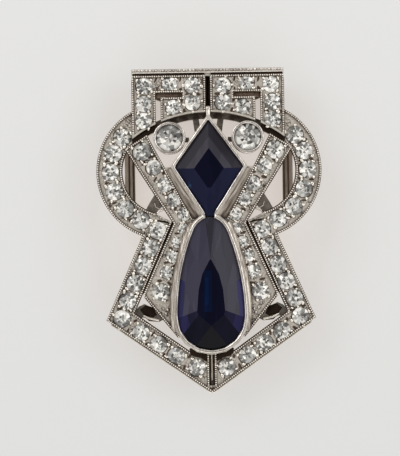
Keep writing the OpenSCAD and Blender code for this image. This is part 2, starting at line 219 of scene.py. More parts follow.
def walk(points: Iterable[Flat], pitch: float) -> list[Flat]:
    """Return points at an even pitch along a line.

    Args:
        points: Corners of the line.
        pitch: Distance between the points, which is stretched to fit the line.

    Returns:
        The evenly spaced points, both ends included.
    """
    line = [Vector(point) for point in points]
    lengths = [(b - a).length for a, b in zip(line, line[1:])]
    total = sum(lengths)
    count = max(1, round(total / pitch))
    placed, leg, walked = [], 0, 0.0
    for step in range(count + 1):
        goal = total * step / count
        while leg < len(lengths) - 1 and walked + lengths[leg] < goal:
            walked += lengths[leg]
            leg += 1
        placed.append(tuple(line[leg].lerp(line[leg + 1], (goal - walked) / lengths[leg])))
    return placed


class Bench:
    """The modelling bench, on which each piece is shaped with Blender's own operators."""

    @staticmethod
    def pick_up(*pieces: Piece) -> None:
        """Select some pieces alone, or none, and make the first one active.

        Args:
            *pieces: The pieces to select, if any.
        """
        bpy.ops.object.select_all(action="DESELECT")
        for piece in pieces:
            piece.select_set(True)
        if pieces:
            bpy.context.view_layer.objects.active = pieces[0]

    @staticmethod
    def newest(name: str) -> Piece:
        """Name the object that was just added.

        Args:
            name: The name that it gets.

        Returns:
            The object.
        """
        piece = bpy.context.active_object
        piece.name = piece.data.name = name
        return piece

    @staticmethod
    def settle(name: str) -> Piece:
        """Name the object that was just added, and move its place into its mesh.

        Args:
            name: The name that it gets.

        Returns:
            The object, which now sits at the origin.
        """
        piece = Bench.newest(name)
        Bench.pick_up(piece)
        bpy.ops.object.transform_apply(location=True, rotation=True, scale=True)
        return piece

    @staticmethod
    @contextmanager
    def editing(piece: Piece) -> Iterator[None]:
        """Work on a piece in edit mode with all of it selected.

        Args:
            piece: The piece to edit.

        Yields:
            Nothing, while edit mode lasts.
        """
        Bench.pick_up(piece)
        bpy.ops.object.mode_set(mode="EDIT")
        bpy.ops.mesh.select_mode(type="VERT")
        bpy.ops.mesh.select_all(action="SELECT")
        yield
        bpy.ops.object.mode_set(mode="OBJECT")

    @staticmethod
    def select_faces(piece: Piece, wanted: Callable[[bmesh.types.BMFace], bool]) -> None:
        """Select the faces of the edited piece that a test picks.

        Args:
            piece: The piece in edit mode.
            wanted: Says for each face whether it is selected.
        """
        bpy.ops.mesh.select_mode(type="FACE")
        bpy.ops.mesh.select_all(action="DESELECT")
        for face in bmesh.from_edit_mesh(piece.data).faces:
            face.select_set(wanted(face))
        bmesh.update_edit_mesh(piece.data)

    @staticmethod
    def extrude(rise: float) -> None:
        """Extrude what is selected along Z, in metres."""
        bpy.ops.mesh.extrude_region_move(TRANSFORM_OT_translate={"value": (0, 0, rise)})

    @staticmethod
    def press(wide: float, flat: float, height: float = 0.0) -> None:
        """Scale what is selected in plan and in height, about a point on the Z axis."""
        bpy.ops.transform.resize(value=(wide, wide, flat), center_override=(0, 0, height))

    @staticmethod
    def face_outward() -> None:
        """Turn all faces of the edited piece outward."""
        bpy.ops.mesh.select_all(action="SELECT")
        bpy.ops.mesh.normals_make_consistent(inside=False)

    @staticmethod
    def trace(name: str, path: list[Vector], closed: bool) -> Piece:
        """Draw a line through points by extruding a single vertex along them.

        Args:
            name: Name of the new piece.
            path: The points, in metres.
            closed: Whether the line runs back to its first point.

        Returns:
            The piece, a mesh of edges.
        """
        Bench.pick_up()
        bpy.ops.mesh.primitive_plane_add(size=MM, location=path[0])
        piece = Bench.settle(name)
        with Bench.editing(piece):
            bpy.ops.mesh.merge(type="CENTER")
            for here, there in zip(path, path[1:] + path[:1] if closed else path[1:]):
                bpy.ops.mesh.extrude_vertices_move(TRANSFORM_OT_translate={"value": there - here})
            bpy.ops.mesh.select_all(action="SELECT")
            bpy.ops.mesh.remove_doubles(threshold=WELD_REACH)
        return piece

    @staticmethod
    def prism(name: str, corners: list[Vector], rise: float) -> Piece:
        """Fill an outline and extrude it along Z.

        Args:
            name: Name of the new piece.
            corners: The outline's corners, in metres.
            rise: How far it is extruded, in metres, where a negative value goes down.

        Returns:
            The prism.
        """
        piece = Bench.trace(name, corners, True)
        with Bench.editing(piece):
            bpy.ops.mesh.edge_face_add()
            Bench.extrude(rise)
            Bench.face_outward()
        return piece

    @staticmethod
    def slab(name: str, corners: list[Vector], rise: float) -> Piece:
        """Make a prism with softened edges.

        Args:
            name: Name of the new piece.
            corners: The outline's corners, in metres.
            rise: How far it is extruded, in metres, where a negative value goes down.

        Returns:
            The slab.
        """
        piece = Bench.prism(name, corners, rise)
        with Bench.editing(piece):
            bpy.ops.mesh.bevel(offset=SLAB_SOFTNESS, segments=2)
        bpy.ops.object.shade_smooth_by_angle(angle=SLAB_CREASE)
        return piece

    @staticmethod
    def wire(name: str, path: list[Vector], radius: float, closed: bool = False, roundness: int = 3) -> Piece:
        """Draw a round wire along a line.

        Args:
            name: Name of the new piece.
            path: The points of its middle line, in metres.
            radius: Radius of the wire, in millimetres.
            closed: Whether the wire is a loop.
            roundness: How many sides are added to each quarter of its section.

        Returns:
            The wire, smooth shaded.
        """
        Bench.pick_up(Bench.trace(name, path, closed))
        bpy.ops.object.convert(target="CURVE")
        curve = Bench.newest(name).data
        curve.dimensions = "3D"
        curve.fill_mode = "FULL"
        curve.bevel_depth = radius * MM
        curve.bevel_resolution = roundness
        curve.use_fill_caps = not closed
        bpy.ops.object.convert(target="MESH")
        bpy.ops.object.shade_smooth_by_angle(angle=WIRE_CREASE)
        return Bench.newest(name)

    @staticmethod
    def twin(pattern: Piece) -> Piece:
        """Return a copy of a pattern with its own mesh.

        Args:
            pattern: The piece that is copied.

        Returns:
            The copy.
        """
        copy = pattern.copy()
        copy.data = pattern.data.copy()
        bpy.context.collection.objects.link(copy)
        return copy

    @staticmethod
    def join(name: str, pieces: list[Piece]) -> Piece:
        """Make some pieces one.

        Args:
            name: Name of the joined piece.
            pieces: The pieces that it is made of.

        Returns:
            The joined piece.
        """
        Bench.pick_up(*pieces)
        bpy.ops.object.join()
        return Bench.newest(name)

    @staticmethod
    def repeat(name: str, pattern: Piece, places: list[Matrix]) -> Piece:
        """Copy a pattern to many places, and join the copies.

        Args:
            name: Name of the joined piece.
            pattern: The piece that is copied.
            places: Where each copy goes, as matrices from the pattern's own place.

        Returns:
            The joined piece.
        """
        copies = [Bench.twin(pattern) for _ in places]
        for copy, place in zip(copies, places):
            copy.data.transform(place)
        return Bench.join(name, copies)

    @staticmethod
    def discard(*patterns: Piece) -> None:
        """Delete patterns once their copies are made."""
        Bench.pick_up(*patterns)
        bpy.ops.object.delete()

    @staticmethod
    def hand_over(
        piece: Piece,
        finish: MetalFinish | CutStoneFinish,
        slot: MetalSlot = MetalSlot.PLATINUM,
        stands_for: tuple[str, ...] = (),
    ) -> None:
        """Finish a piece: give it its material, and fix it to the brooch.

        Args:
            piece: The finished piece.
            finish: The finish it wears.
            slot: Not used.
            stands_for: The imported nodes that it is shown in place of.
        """
        piece.data.materials.clear()
        piece.data.materials.append(MATERIALS[finish.name])
        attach(piece, "root")
        if stands_for:
            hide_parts(*stands_for)
        log.info("%s: %d faces", piece.name, len(piece.data.polygons))


class Board:
    """Builds one node material, node by node."""

    def __init__(self, name: str) -> None:
        """Start an empty material with a Principled shader and an output.

        Args:
            name: Name of the material.
        """
        self.material = bpy.data.materials.new(name)
        self.material.use_nodes = True
        self.tree = self.material.node_tree
        self.tree.nodes.clear()
        self.shader = self.add("ShaderNodeBsdfPrincipled")
        self.add("ShaderNodeOutputMaterial", {"Surface": self.shader.outputs["BSDF"]})

    def add(self, kind: str, inputs: dict[Any, Any] | None = None, **settings: Any) -> bpy.types.Node:
        """Add a node.

        Args:
            kind: Blender's name for the kind of node.
            inputs: Values or other nodes' sockets for its inputs, by name or place.
            **settings: Values for the node's own settings.

        Returns:
            The new node.
        """
        node = self.tree.nodes.new(kind)
        for setting, value in settings.items():
            setattr(node, setting, value)
        self.set(node, inputs or {})
        return node

    def set(self, node: bpy.types.Node, inputs: dict[Any, Any]) -> None:
        """Give a node's inputs values, or link sockets to them.

        Args:
            node: The node.
            inputs: Values or sockets, by the input's name or place.
        """
        for key, value in inputs.items():
            if isinstance(value, Socket):
                self.tree.links.new(value, node.inputs[key])
            else:
                node.inputs[key].default_value = value

    def finish(self, inputs: dict[str, Any]) -> bpy.types.Material:
        """Set the shader's inputs, and return the material."""
        self.set(self.shader, inputs)
        return self.material

    def place(self) -> Socket:
        """Return the socket of the Object coordinates."""
        return self.add("ShaderNodeTexCoord").outputs["Object"]

    def part(self, axis: str, source: Socket | None = None) -> Socket:
        """Return one component of a vector, or of the Object coordinates."""
        return self.add("ShaderNodeSeparateXYZ", {0: source or self.place()}).outputs[axis]

    def turned(self, turn: float) -> Socket:
        """Return Object coordinates mirrored about the brooch's middle and turned, in degrees, on each half.

        Args:
            turn: Direction on the right half, in degrees, where 90 runs up it.

        Returns:
            The socket of the turned coordinates.
        """
        across, up, out = (self.part(axis) for axis in "XYZ")
        half = self.add("ShaderNodeCombineXYZ", {0: self.math("ABSOLUTE", across), 1: up, 2: out}).outputs["Vector"]
        keys = {"Vector": half, "Rotation": (0.0, 0.0, math.radians(90 - turn))}
        return self.add("ShaderNodeMapping", keys).outputs["Vector"]

    def noise(self, scale: float, detail: float, stretch: Triple = (1, 1, 1), turn: float = 90.0) -> Socket:
        """Add a noise on Object coordinates.

        Args:
            scale: Grains per metre.
            detail: How much finer detail it carries.
            stretch: Scale along each axis, where a small value draws the grains out.
            turn: Direction of the grains on the right half, in degrees, where 90 runs up both halves.

        Returns:
            The noise's value socket.
        """
        place = self.place() if turn == 90 else self.turned(turn)
        mapped = self.add("ShaderNodeMapping", {"Vector": place, "Scale": stretch}).outputs["Vector"]
        return self.add("ShaderNodeTexNoise", {"Vector": mapped, "Scale": scale, "Detail": detail}).outputs["Fac"]

    def between(self, value: Socket, low: float, high: float, to_low: float, to_high: float) -> Socket:
        """Map a value from one range to another, clamped.

        Args:
            value: The socket of the value.
            low: Start of its range.
            high: End of its range.
            to_low: What the start becomes.
            to_high: What the end becomes.

        Returns:
            The socket of the result.
        """
        keys = {"Value": value, "From Min": low, "From Max": high, "To Min": to_low, "To Max": to_high}
        return self.add("ShaderNodeMapRange", keys).outputs["Result"]

    def math(self, operation: str, first: Any, *others: Any) -> Socket:
        """Join values with a math operation, and return the result's socket."""
        return self.add("ShaderNodeMath", dict(enumerate((first, *others))), operation=operation).outputs["Value"]

    def times(self, first: Any, second: Any) -> Socket:
        """Multiply two values, and return the product's socket."""
        return self.math("MULTIPLY", first, second)

    def mix(self, share: Any, first: Any, second: Any, blend: str = "MIX") -> Socket:
        """Mix two colours.

        Args:
            share: How much of the second colour shows.
            first: The first colour or its socket.
            second: The second colour or its socket.
            blend: The way the two are mixed.

        Returns:
            The mixed colour's socket.
        """
        colours = {6: first, 7: second}
        keys = {key: (*value, 1.0) if isinstance(value, tuple) else value for key, value in colours.items()}
        return self.add("ShaderNodeMix", {0: share, **keys}, data_type="RGBA", blend_type=blend).outputs[2]


@dataclass(frozen=True)
class MountWork:
    """What the mount alone shows: chased fields between its stones, and painted shade on faces below its plates."""

    field_levels: tuple[float, ...] = (LEVELS.frame_face, LEVELS.strap_face, LEVELS.panel_face)
    level_reach: float = 0.02
    swirls: Flat = (2300, 2)
    swirl_middle: float = 0.5
    cut_edge: Ramp = (0.02, 0.09, 0.95, 0.0)
    depths: Flat = (900, 3)
    depth_range: Ramp = (0.38, 0.6, 0.25, 1.0)
    chasing: Flat = (2600, 2)
    chasing_depth: float = 3.0
    low_faces: Ramp = (5.1 * MM, 5.25 * MM, 1.0, 0.0)
    upward: Ramp = (-0.2, 0.3, 0.0, 1.0)
    under_shade_mottle: Flat = (1500, 4)
    under_shade_range: Ramp = (0.35, 0.6, 0.87, 0.98)
    webs: Ramp = (4.9 * MM, 5.0 * MM, 0.86, 1.0)

    def fields(self, board: Board) -> Socket:
        """Pick out the sunk fields between the stones.

        Args:
            board: The material that is being built.

        Returns:
            The socket of their share.
        """
        height, share = board.part("Z"), 0.0
        for level in self.field_levels:
            share = board.math("MAXIMUM", share, board.math("COMPARE", height, level * MM, self.level_reach * MM))
        return share

    def graver_marks(self, board: Board) -> Socket:
        """Draw the cuts and hollows that the graver leaves.

        Args:
            board: The material that is being built.

        Returns:
            The socket of their share.
        """
        swirl = board.math("ABSOLUTE", board.math("SUBTRACT", board.noise(*self.swirls), self.swirl_middle))
        depth = board.between(board.noise(*self.depths), *self.depth_range)
        return board.times(board.between(swirl, *self.cut_edge), depth)

    def shade_below_plates(self, board: Board) -> Socket:
        """Pick out the upward faces under the stone-set plates, which get painted shade.

        Args:
            board: The material that is being built.

        Returns:
            The socket of their share.
        """
        height = board.part("Z")
        facing = board.part("Z", board.add("ShaderNodeNewGeometry").outputs["Normal"])
        share = board.times(board.between(height, *self.low_faces), board.between(facing, *self.upward))
        # Painted shade: mottled, and lighter on the lowest webs.
        shade_and_soil = board.times(share, board.between(board.noise(*self.under_shade_mottle), *self.under_shade_range))
        return board.times(shade_and_soil, board.between(height, *self.webs))


@dataclass(frozen=True)
class MetalFinish:
    """A worked precious metal: bright on edges, dulled by fine wear, and dark in recesses from painted shade and
    dirt.
    """

    name: str
    bright: Triple
    dull: Triple
    recess: Triple
    roughness: float = 0.3
    wear_share: float = 0.5
    recess_reach: float = 0.5
    streaks: Triple = (1.0, 1.0, 1.0)
    wear_range: Flat = (0.75, 1.3)
    turn: float = 90.0
    work: MountWork | None = None
    clouds: Flat = (420, 5)
    grain: Flat = (5200, 3)
    scratches: tuple[float, float, Triple] = (900, 4, (9.0, 0.7, 1.0))
    shade_and_soil: Ramp = (0.3, 0.92, 0.96, 0.0)
    shade_and_soil_patches: Ramp = (0.3, 0.6, 0.75, 1.0)
    shade_samples: int = 6
    dulled: Flat = (0.3, 1.4)
    dulled_by: float = 0.3
    relief: float = 0.35
    relief_depth: float = 0.02

    def material(self) -> bpy.types.Material:
        """Return the material with its wear, scratches, and recesses darkened by painted shade and dirt.

        Returns:
            The material.
        """
        board = Board(self.name)
        clouds, grain = board.noise(*self.clouds, self.streaks, self.turn), board.noise(*self.grain)
        scratches = board.noise(*self.scratches, self.turn)
        wear = board.between(board.math("ADD", clouds, scratches), *self.wear_range, 0.0, self.wear_share)
        reach = {"Distance": self.recess_reach * MM}
        shade = board.add("ShaderNodeAmbientOcclusion", reach, samples=self.shade_samples).outputs["AO"]
        # Painted shade: the AO darkens recesses towards the recess colour, in patches like dirt.
        shade_and_dirt = board.times(board.between(shade, *self.shade_and_soil), board.between(clouds, *self.shade_and_soil_patches))
        height = board.math("ADD", grain, scratches)
        if self.work:
            fields = self.work.fields(board)
            # Painted shade on the upward faces below the plates.
            shade_and_dirt = board.math("MAXIMUM", shade_and_dirt, self.work.shade_below_plates(board))
            shade_and_dirt = board.math("MAXIMUM", shade_and_dirt, board.times(fields, self.work.graver_marks(board)))
            chased = board.times(board.noise(*self.work.chasing), self.work.chasing_depth)
            height = board.math("ADD", height, board.times(fields, chased))
        rough = self.roughness, self.roughness + self.dulled_by
        bump = {"Height": height, "Strength": self.relief, "Distance": self.relief_depth * MM}
        return board.finish({
            "Base Color": board.mix(shade_and_dirt, board.mix(wear, self.bright, self.dull), self.recess),
            "Metallic": 1.0,
            "Roughness": board.between(board.math("ADD", grain, shade_and_dirt), *self.dulled, *rough),
            "Normal": board.add("ShaderNodeBump", bump).outputs["Normal"],
        })


@dataclass(frozen=True)
class CutStoneFinish:
    """A faceted stone: each facet has its own tone with painted light, broken up by painted reflections inside the
    stone.
    """

    name: str
    roughness: float
    ior: float
    specular: float
    coat: float
    cells: float
    stretch: Triple
    reflection_play: Flat
    coat_roughness: float = 0.03

    def material(self) -> bpy.types.Material:
        """Return the material, which reads the facets' own colours with their painted light.

        Returns:
            The material.
        """
        board = Board(self.name)
        tone = board.add("ShaderNodeVertexColor", layer_name=FACET_LIGHT_AND_COLOUR).outputs["Color"]
        mapped = board.add("ShaderNodeMapping", {"Vector": board.place(), "Scale": self.stretch}).outputs["Vector"]
        # Painted reflections: Voronoi cells lighten and darken the facets in patches.
        cell = board.add("ShaderNodeTexVoronoi", {"Vector": mapped, "Scale": self.cells}).outputs["Color"]
        reflection_play = board.between(board.part("X", cell), 0.0, 1.0, *self.reflection_play)
        grey = board.add("ShaderNodeCombineXYZ", {0: reflection_play, 1: reflection_play, 2: reflection_play}).outputs["Vector"]
        return board.finish({
            "Base Color": board.mix(1.0, tone, grey, "MULTIPLY"),
            "Roughness": self.roughness,
            "IOR": self.ior,
            "Specular IOR Level": self.specular,
            "Coat Weight": self.coat,
            "Coat Roughness": self.coat_roughness,
        })


@dataclass(frozen=True)
class FloorFinish:
    """The plain pale sheet that the brooch lies on, glowing as on a light table, with a painted soft shadow round
    the brooch.
    """

    name: str = "pale_paper"
    colour: Triple = srgb(127, 138, 144)
    fibre: Triple = srgb(108, 116, 120)
    tooth: Flat = (900, 3)
    fibre_share: Ramp = (0.3, 0.7, 0.0, 0.06)
    glow: Triple = srgb(255, 246, 238)
    shadow_tint: Triple = srgb(255, 243, 234)
    glow_range: Ramp = (-27.0 * MM, 27.0 * MM, 0.53, 0.565)
    shadow_reach: Flat = (13.0 * MM, 23.0 * MM)
    shadow_share: float = 0.985
    glow_under_brooch: Ramp = (10.0 * MM, 14.0 * MM, 1.1, 1.0)
    roughness: float = 0.8
    specular: float = 0.1

    def material(self) -> bpy.types.Material:
        """Return the paper's material.

        Returns:
            The material.
        """
        board = Board(self.name)
        tooth = board.between(board.noise(*self.tooth), *self.fibre_share)
        far = board.add("ShaderNodeVectorMath", {0: board.place()}, operation="LENGTH").outputs["Value"]
        # Painted shadow: the glow dims and warms within the shadow reach round the brooch.
        painted_shadow = board.between(far, *self.shadow_reach, self.shadow_share, 1.0)
        # Painted light: the glow is brighter towards the top.
        glow = board.times(board.between(board.part("Y"), *self.glow_range), painted_shadow)
        return board.finish({
            "Base Color": board.mix(tooth, self.colour, self.fibre),
            "Roughness": self.roughness,
            "Specular IOR Level": self.specular,
            "Emission Color": board.mix(board.between(far, *self.shadow_reach, 0.0, 1.0), self.shadow_tint, self.glow),
            # Painted light: the glow is raised under the brooch, where its shade falls.
            "Emission Strength": board.times(glow, board.between(far, *self.glow_under_brooch)),
        })


PLATINUM = MetalFinish(
    "worked_platinum", srgb(250, 242, 230), srgb(184, 172, 157), srgb(50, 39, 33), work=MountWork(),
)
POLISHED = MetalFinish(
    "polished_platinum", srgb(252, 246, 236), srgb(216, 206, 194), srgb(70, 58, 50), 0.16, 0.7, 0.25,
)
BRUSHED = MetalFinish(
    "brushed_platinum", srgb(226, 217, 205), srgb(132, 120, 109), srgb(60, 48, 41), 0.3, 0.95, 0.6,
    streaks=(6.0, 0.5, 1.0), wear_range=(0.85, 1.15),
)
WHITE_GOLD = MetalFinish(
    "satin_white_gold", srgb(206, 195, 183), srgb(138, 125, 114), srgb(62, 52, 45), 0.34, 1.0, 0.7,
    streaks=(1.6, 0.5, 1.6), wear_range=(0.6, 1.4),
)
SHADED = MetalFinish(
    "shaded_platinum", srgb(158, 138, 124), srgb(98, 82, 72), srgb(48, 37, 31), 0.4, 0.8, 0.3,
    streaks=(0.5, 5.0, 1.0),
)
# Painted shade: a dark metal for the cuts round the stones, the milgrain's underlays and the strips on the clip's
# arms.
CUT_SHADE = MetalFinish("graver_cut_shade", srgb(104, 90, 79), srgb(56, 46, 39), srgb(28, 21, 17), 0.45, 0.8, 0.3)
# Painted shade: a near-black metal for strips and wires laid where shadows fall.
SHADOW_DARK = MetalFinish("painted_shadow_metal", srgb(52, 41, 34), srgb(32, 24, 20), srgb(20, 15, 12), 0.5, 0.8, 0.3)
SLOPED = MetalFinish(
    "drawn_platinum", srgb(198, 188, 177), srgb(88, 76, 66), srgb(50, 39, 32), 0.3, 0.95, 0.5,
    streaks=(6.0, 0.3, 1.0), wear_range=(0.8, 1.15), turn=58.0,
)
BURNISHED = MetalFinish(
    "burnished_platinum", srgb(230, 223, 216), srgb(148, 139, 131), srgb(70, 58, 50), 0.2, 0.7, 0.25,
    wear_range=(0.85, 1.15),
)
SAPPHIRE = CutStoneFinish("sapphire", 0.06, 1.6, 0.06, 0.0, 700, (1.6, 0.35, 1.0), (0.8, 1.15))
DIAMOND = CutStoneFinish("diamond", 0.04, 1.8, 0.4, 0.2, 2700, (1.0, 1.0, 1.0), (0.45, 1.25))
FINISHES = (PLATINUM, POLISHED, BRUSHED, WHITE_GOLD, SHADED, CUT_SHADE, SHADOW_DARK, SLOPED, BURNISHED, SAPPHIRE, DIAMOND)


class Lap:
    """A lapidary's wheel, which grinds, divides and tints the flat facets of a stone."""

    @staticmethod
    def grind(piece: Piece, point: Vector, facing: Vector) -> None:
        """Grind one facet.

        Args:
            piece: The stone or bead.
            point: A point on the facet, in metres.
            facing: The facet's outward normal.
        """
        with Bench.editing(piece):
            bpy.ops.mesh.bisect(
                plane_co=point, plane_no=facing, use_fill=True, clear_outer=True, threshold=BLADE_WIDTH
            )

    @staticmethod
    def score(piece: Piece, wanted: Callable[[bmesh.types.BMFace], bool], point: Vector, across: Vector) -> None:
        """Divide some facets along a line, for the painted reflections that show through them.

        Args:
            piece: The stone.
            wanted: Says for each facet whether it is divided.
            point: A point on the line, in metres.
            across: The level direction square to the line.
        """
        with Bench.editing(piece):
            Bench.select_faces(piece, wanted)
            bpy.ops.mesh.bisect(plane_co=point, plane_no=across, threshold=BLADE_WIDTH)

    @staticmethod
    def tint(piece: Piece, pick: Callable[[bpy.types.MeshPolygon], Triple]) -> None:
        """Write to each facet the linear colour, with its painted light, that is picked for it.

        Args:
            piece: The stone.
            pick: Says which linear colour a facet has.
        """
        layer = piece.data.color_attributes.new(FACET_LIGHT_AND_COLOUR, "FLOAT_COLOR", "CORNER")
        for face in piece.data.polygons:
            shade = (*pick(face), 1.0)
            for corner in face.loop_indices:
                layer.data[corner].color = shade


@dataclass(frozen=True)
class FacetRing:
    """One ring of like facets on a round stone of radius 1."""

    count: int
    first_turn: float
    slope: float
    radius: float
    height: float
    upward: int


@dataclass
class Brilliant:
    """A round brilliant of radius 1 mm, ground once and copied for every round diamond."""

    sides: int = 32
    table_height: float = 0.3
    culet_depth: float = 0.84
    table_inset: float = 0.24
    rings: tuple[FacetRing, ...] = (
        FacetRing(8, 0.0, 31.5, 1.0, 0.03, 1),
        FacetRing(16, 11.25, 33.6, 1.0, 0.03, 1),
        FacetRing(8, 22.5, 18.0, 0.56, 0.3, 1),
        FacetRing(8, 0.0, 39.0, 1.0, -0.03, -1),
        FacetRing(16, 11.25, 40.4, 1.0, -0.03, -1),
    )
    underside: float = -0.1
    deep_tone: float = 0.4
    deep_spread: float = 0.3
    lit_share: float = 0.52
    lit_swing: float = 0.22
    edge_from: float = 0.88
    edge_shade: float = 0.2
    bright: Flat = (0.7, 0.98)
    dark: Flat = (0.04, 0.4)
    tint: Triple = (0.99, 0.972, 0.912)

    def cut(self) -> Piece:
        """Grind the stone from a short cylinder, and divide its table by a star.

        Returns:
            The stone, which the others are copied from.
        """
        depth = self.table_height + self.culet_depth
        middle = (0, 0, (self.table_height - self.culet_depth) / 2 * MM)
        Bench.pick_up()
        bpy.ops.mesh.primitive_cylinder_add(vertices=self.sides, radius=MM, depth=depth * MM, location=middle)
        stone = Bench.settle("brilliant_pattern")
        for ring in self.rings:
            tilt = math.radians(ring.slope)
            for index in range(ring.count):
                out = direction(ring.first_turn + 360 * index / ring.count)
                facing = out * math.sin(tilt) + Vector((0, 0, ring.upward)) * math.cos(tilt)
                Lap.grind(stone, (out * ring.radius + Vector((0, 0, ring.height))) * MM, facing)
        with Bench.editing(stone):
            Bench.select_faces(stone, lambda face: face.normal.z > LEVEL_FACE)
            bpy.ops.mesh.inset(thickness=self.table_inset * MM)
            bpy.ops.mesh.poke()
        return stone

    def colour(self, stone: Piece, chance: random.Random, gain: float) -> None:
        """Paint one stone's own pattern of bright and dark facets, as painted reflections.

        Args:
            stone: A copy of the brilliant, still at its own place.
            chance: The seeded source of its tones.
            gain: How bright the whole stone is.
        """
        # Painted light: each stone is lit more from a random side, and its facets near the girdle are shaded darker.
        turn = chance.uniform(0, math.tau)

        def pick(face: bpy.types.MeshPolygon) -> Triple:
            """Return the tone of one facet.

            Args:
                face: The facet.

            Returns:
                Its linear colour.
            """
            if face.normal.z < self.underside:
                tone = self.deep_tone + self.deep_spread * chance.random()
            else:
                lit = self.lit_share + self.lit_swing * math.cos(math.atan2(face.center.y, face.center.x) - turn)
                if face.center.xy.length > self.edge_from * MM:
                    lit -= self.edge_shade
                tone = chance.uniform(*self.bright) if chance.random() < lit else chance.uniform(*self.dark)
            return tuple(tone * gain * channel for channel in self.tint)

        Lap.tint(stone, pick)


@dataclass(frozen=True)
class Grain:
    """A small bead of metal, raised or rolled on a rim or beside a stone."""

    segments: int = 8
    rings: int = 6
    sunk: float = 0.35
    flatness: float = 0.85

    def raise_bead(self) -> Piece:
        """Shape a bead of radius 1 mm from a sphere cut off below.

        Returns:
            The bead.
        """
        Bench.pick_up()
        bpy.ops.mesh.primitive_uv_sphere_add(segments=self.segments, ring_count=self.rings, radius=MM)
        bead = Bench.settle("bead_pattern")
        Lap.grind(bead, Vector((0, 0, -self.sunk * MM)), Vector((0, 0, -1)))
        with Bench.editing(bead):
            Bench.press(1, self.flatness)
        bpy.ops.object.shade_smooth_by_angle(angle=BEAD_CREASE)
        return bead


@dataclass(frozen=True)
class GraverCut:
    """A dark, shallow dish round a stone: the graver's cut in the metal, darkened by painted shade."""

    sides: int = 14
    lift: float = 0.012
    wall: float = 0.03
    seed: int = 3

    def dish(self) -> Piece:
        """Shape a cut of radius 1 mm with a slightly ragged edge.

        Returns:
            The cut.
        """
        Bench.pick_up()
        bpy.ops.mesh.primitive_circle_add(vertices=self.sides, radius=MM, fill_type="NGON")
        dish = Bench.settle("cut_pattern")
        with Bench.editing(dish):
            bpy.ops.transform.vertex_random(offset=self.wall * MM, seed=self.seed)
            Bench.press(1, 0)
            Bench.extrude(self.lift * MM)
            Bench.press(1 - self.wall, 1)
            Bench.face_outward()
        return dish


@dataclass(frozen=True)
class Patterns:
    """The shapes that are made once and copied: a brilliant with its cut, a bead and a graver's dish."""

    brilliant: Brilliant
    stone: Piece
    bead: Piece
    dish: Piece


@dataclass(frozen=True)
class Setting:
    """One stone of a row: its place in plan and its diameter."""

    x: float
    y: float
    d: float


def settings(*stones: Triple) -> tuple[Setting, ...]:
    """Return a row of settings."""
    return tuple(Setting(*stone) for stone in stones)


@dataclass(frozen=True)
class Seat:
    """The seat of one pavé stone: its side, its row, its place in the row and the face of the plate."""

    side: Side
    row: tuple[Setting, ...]
    index: int
    face: float

    @property
    def stone(self) -> Setting:
        """Return the stone's place and diameter."""
        return self.row[self.index]

    def home(self, x: float, y: float, lift: float = 0.0) -> Vector:
        """Return a point of the right half on this side, by its height over the face, in metres."""
        return at(self.side.place((x, y)), self.face + lift)

    def heading(self) -> float:
        """Return the direction of the row at this stone, in radians."""
        before, after = self.row[max(0, self.index - 1)], self.row[min(len(self.row) - 1, self.index + 1)]
        return math.atan2(after.y - before.y, after.x - before.x)


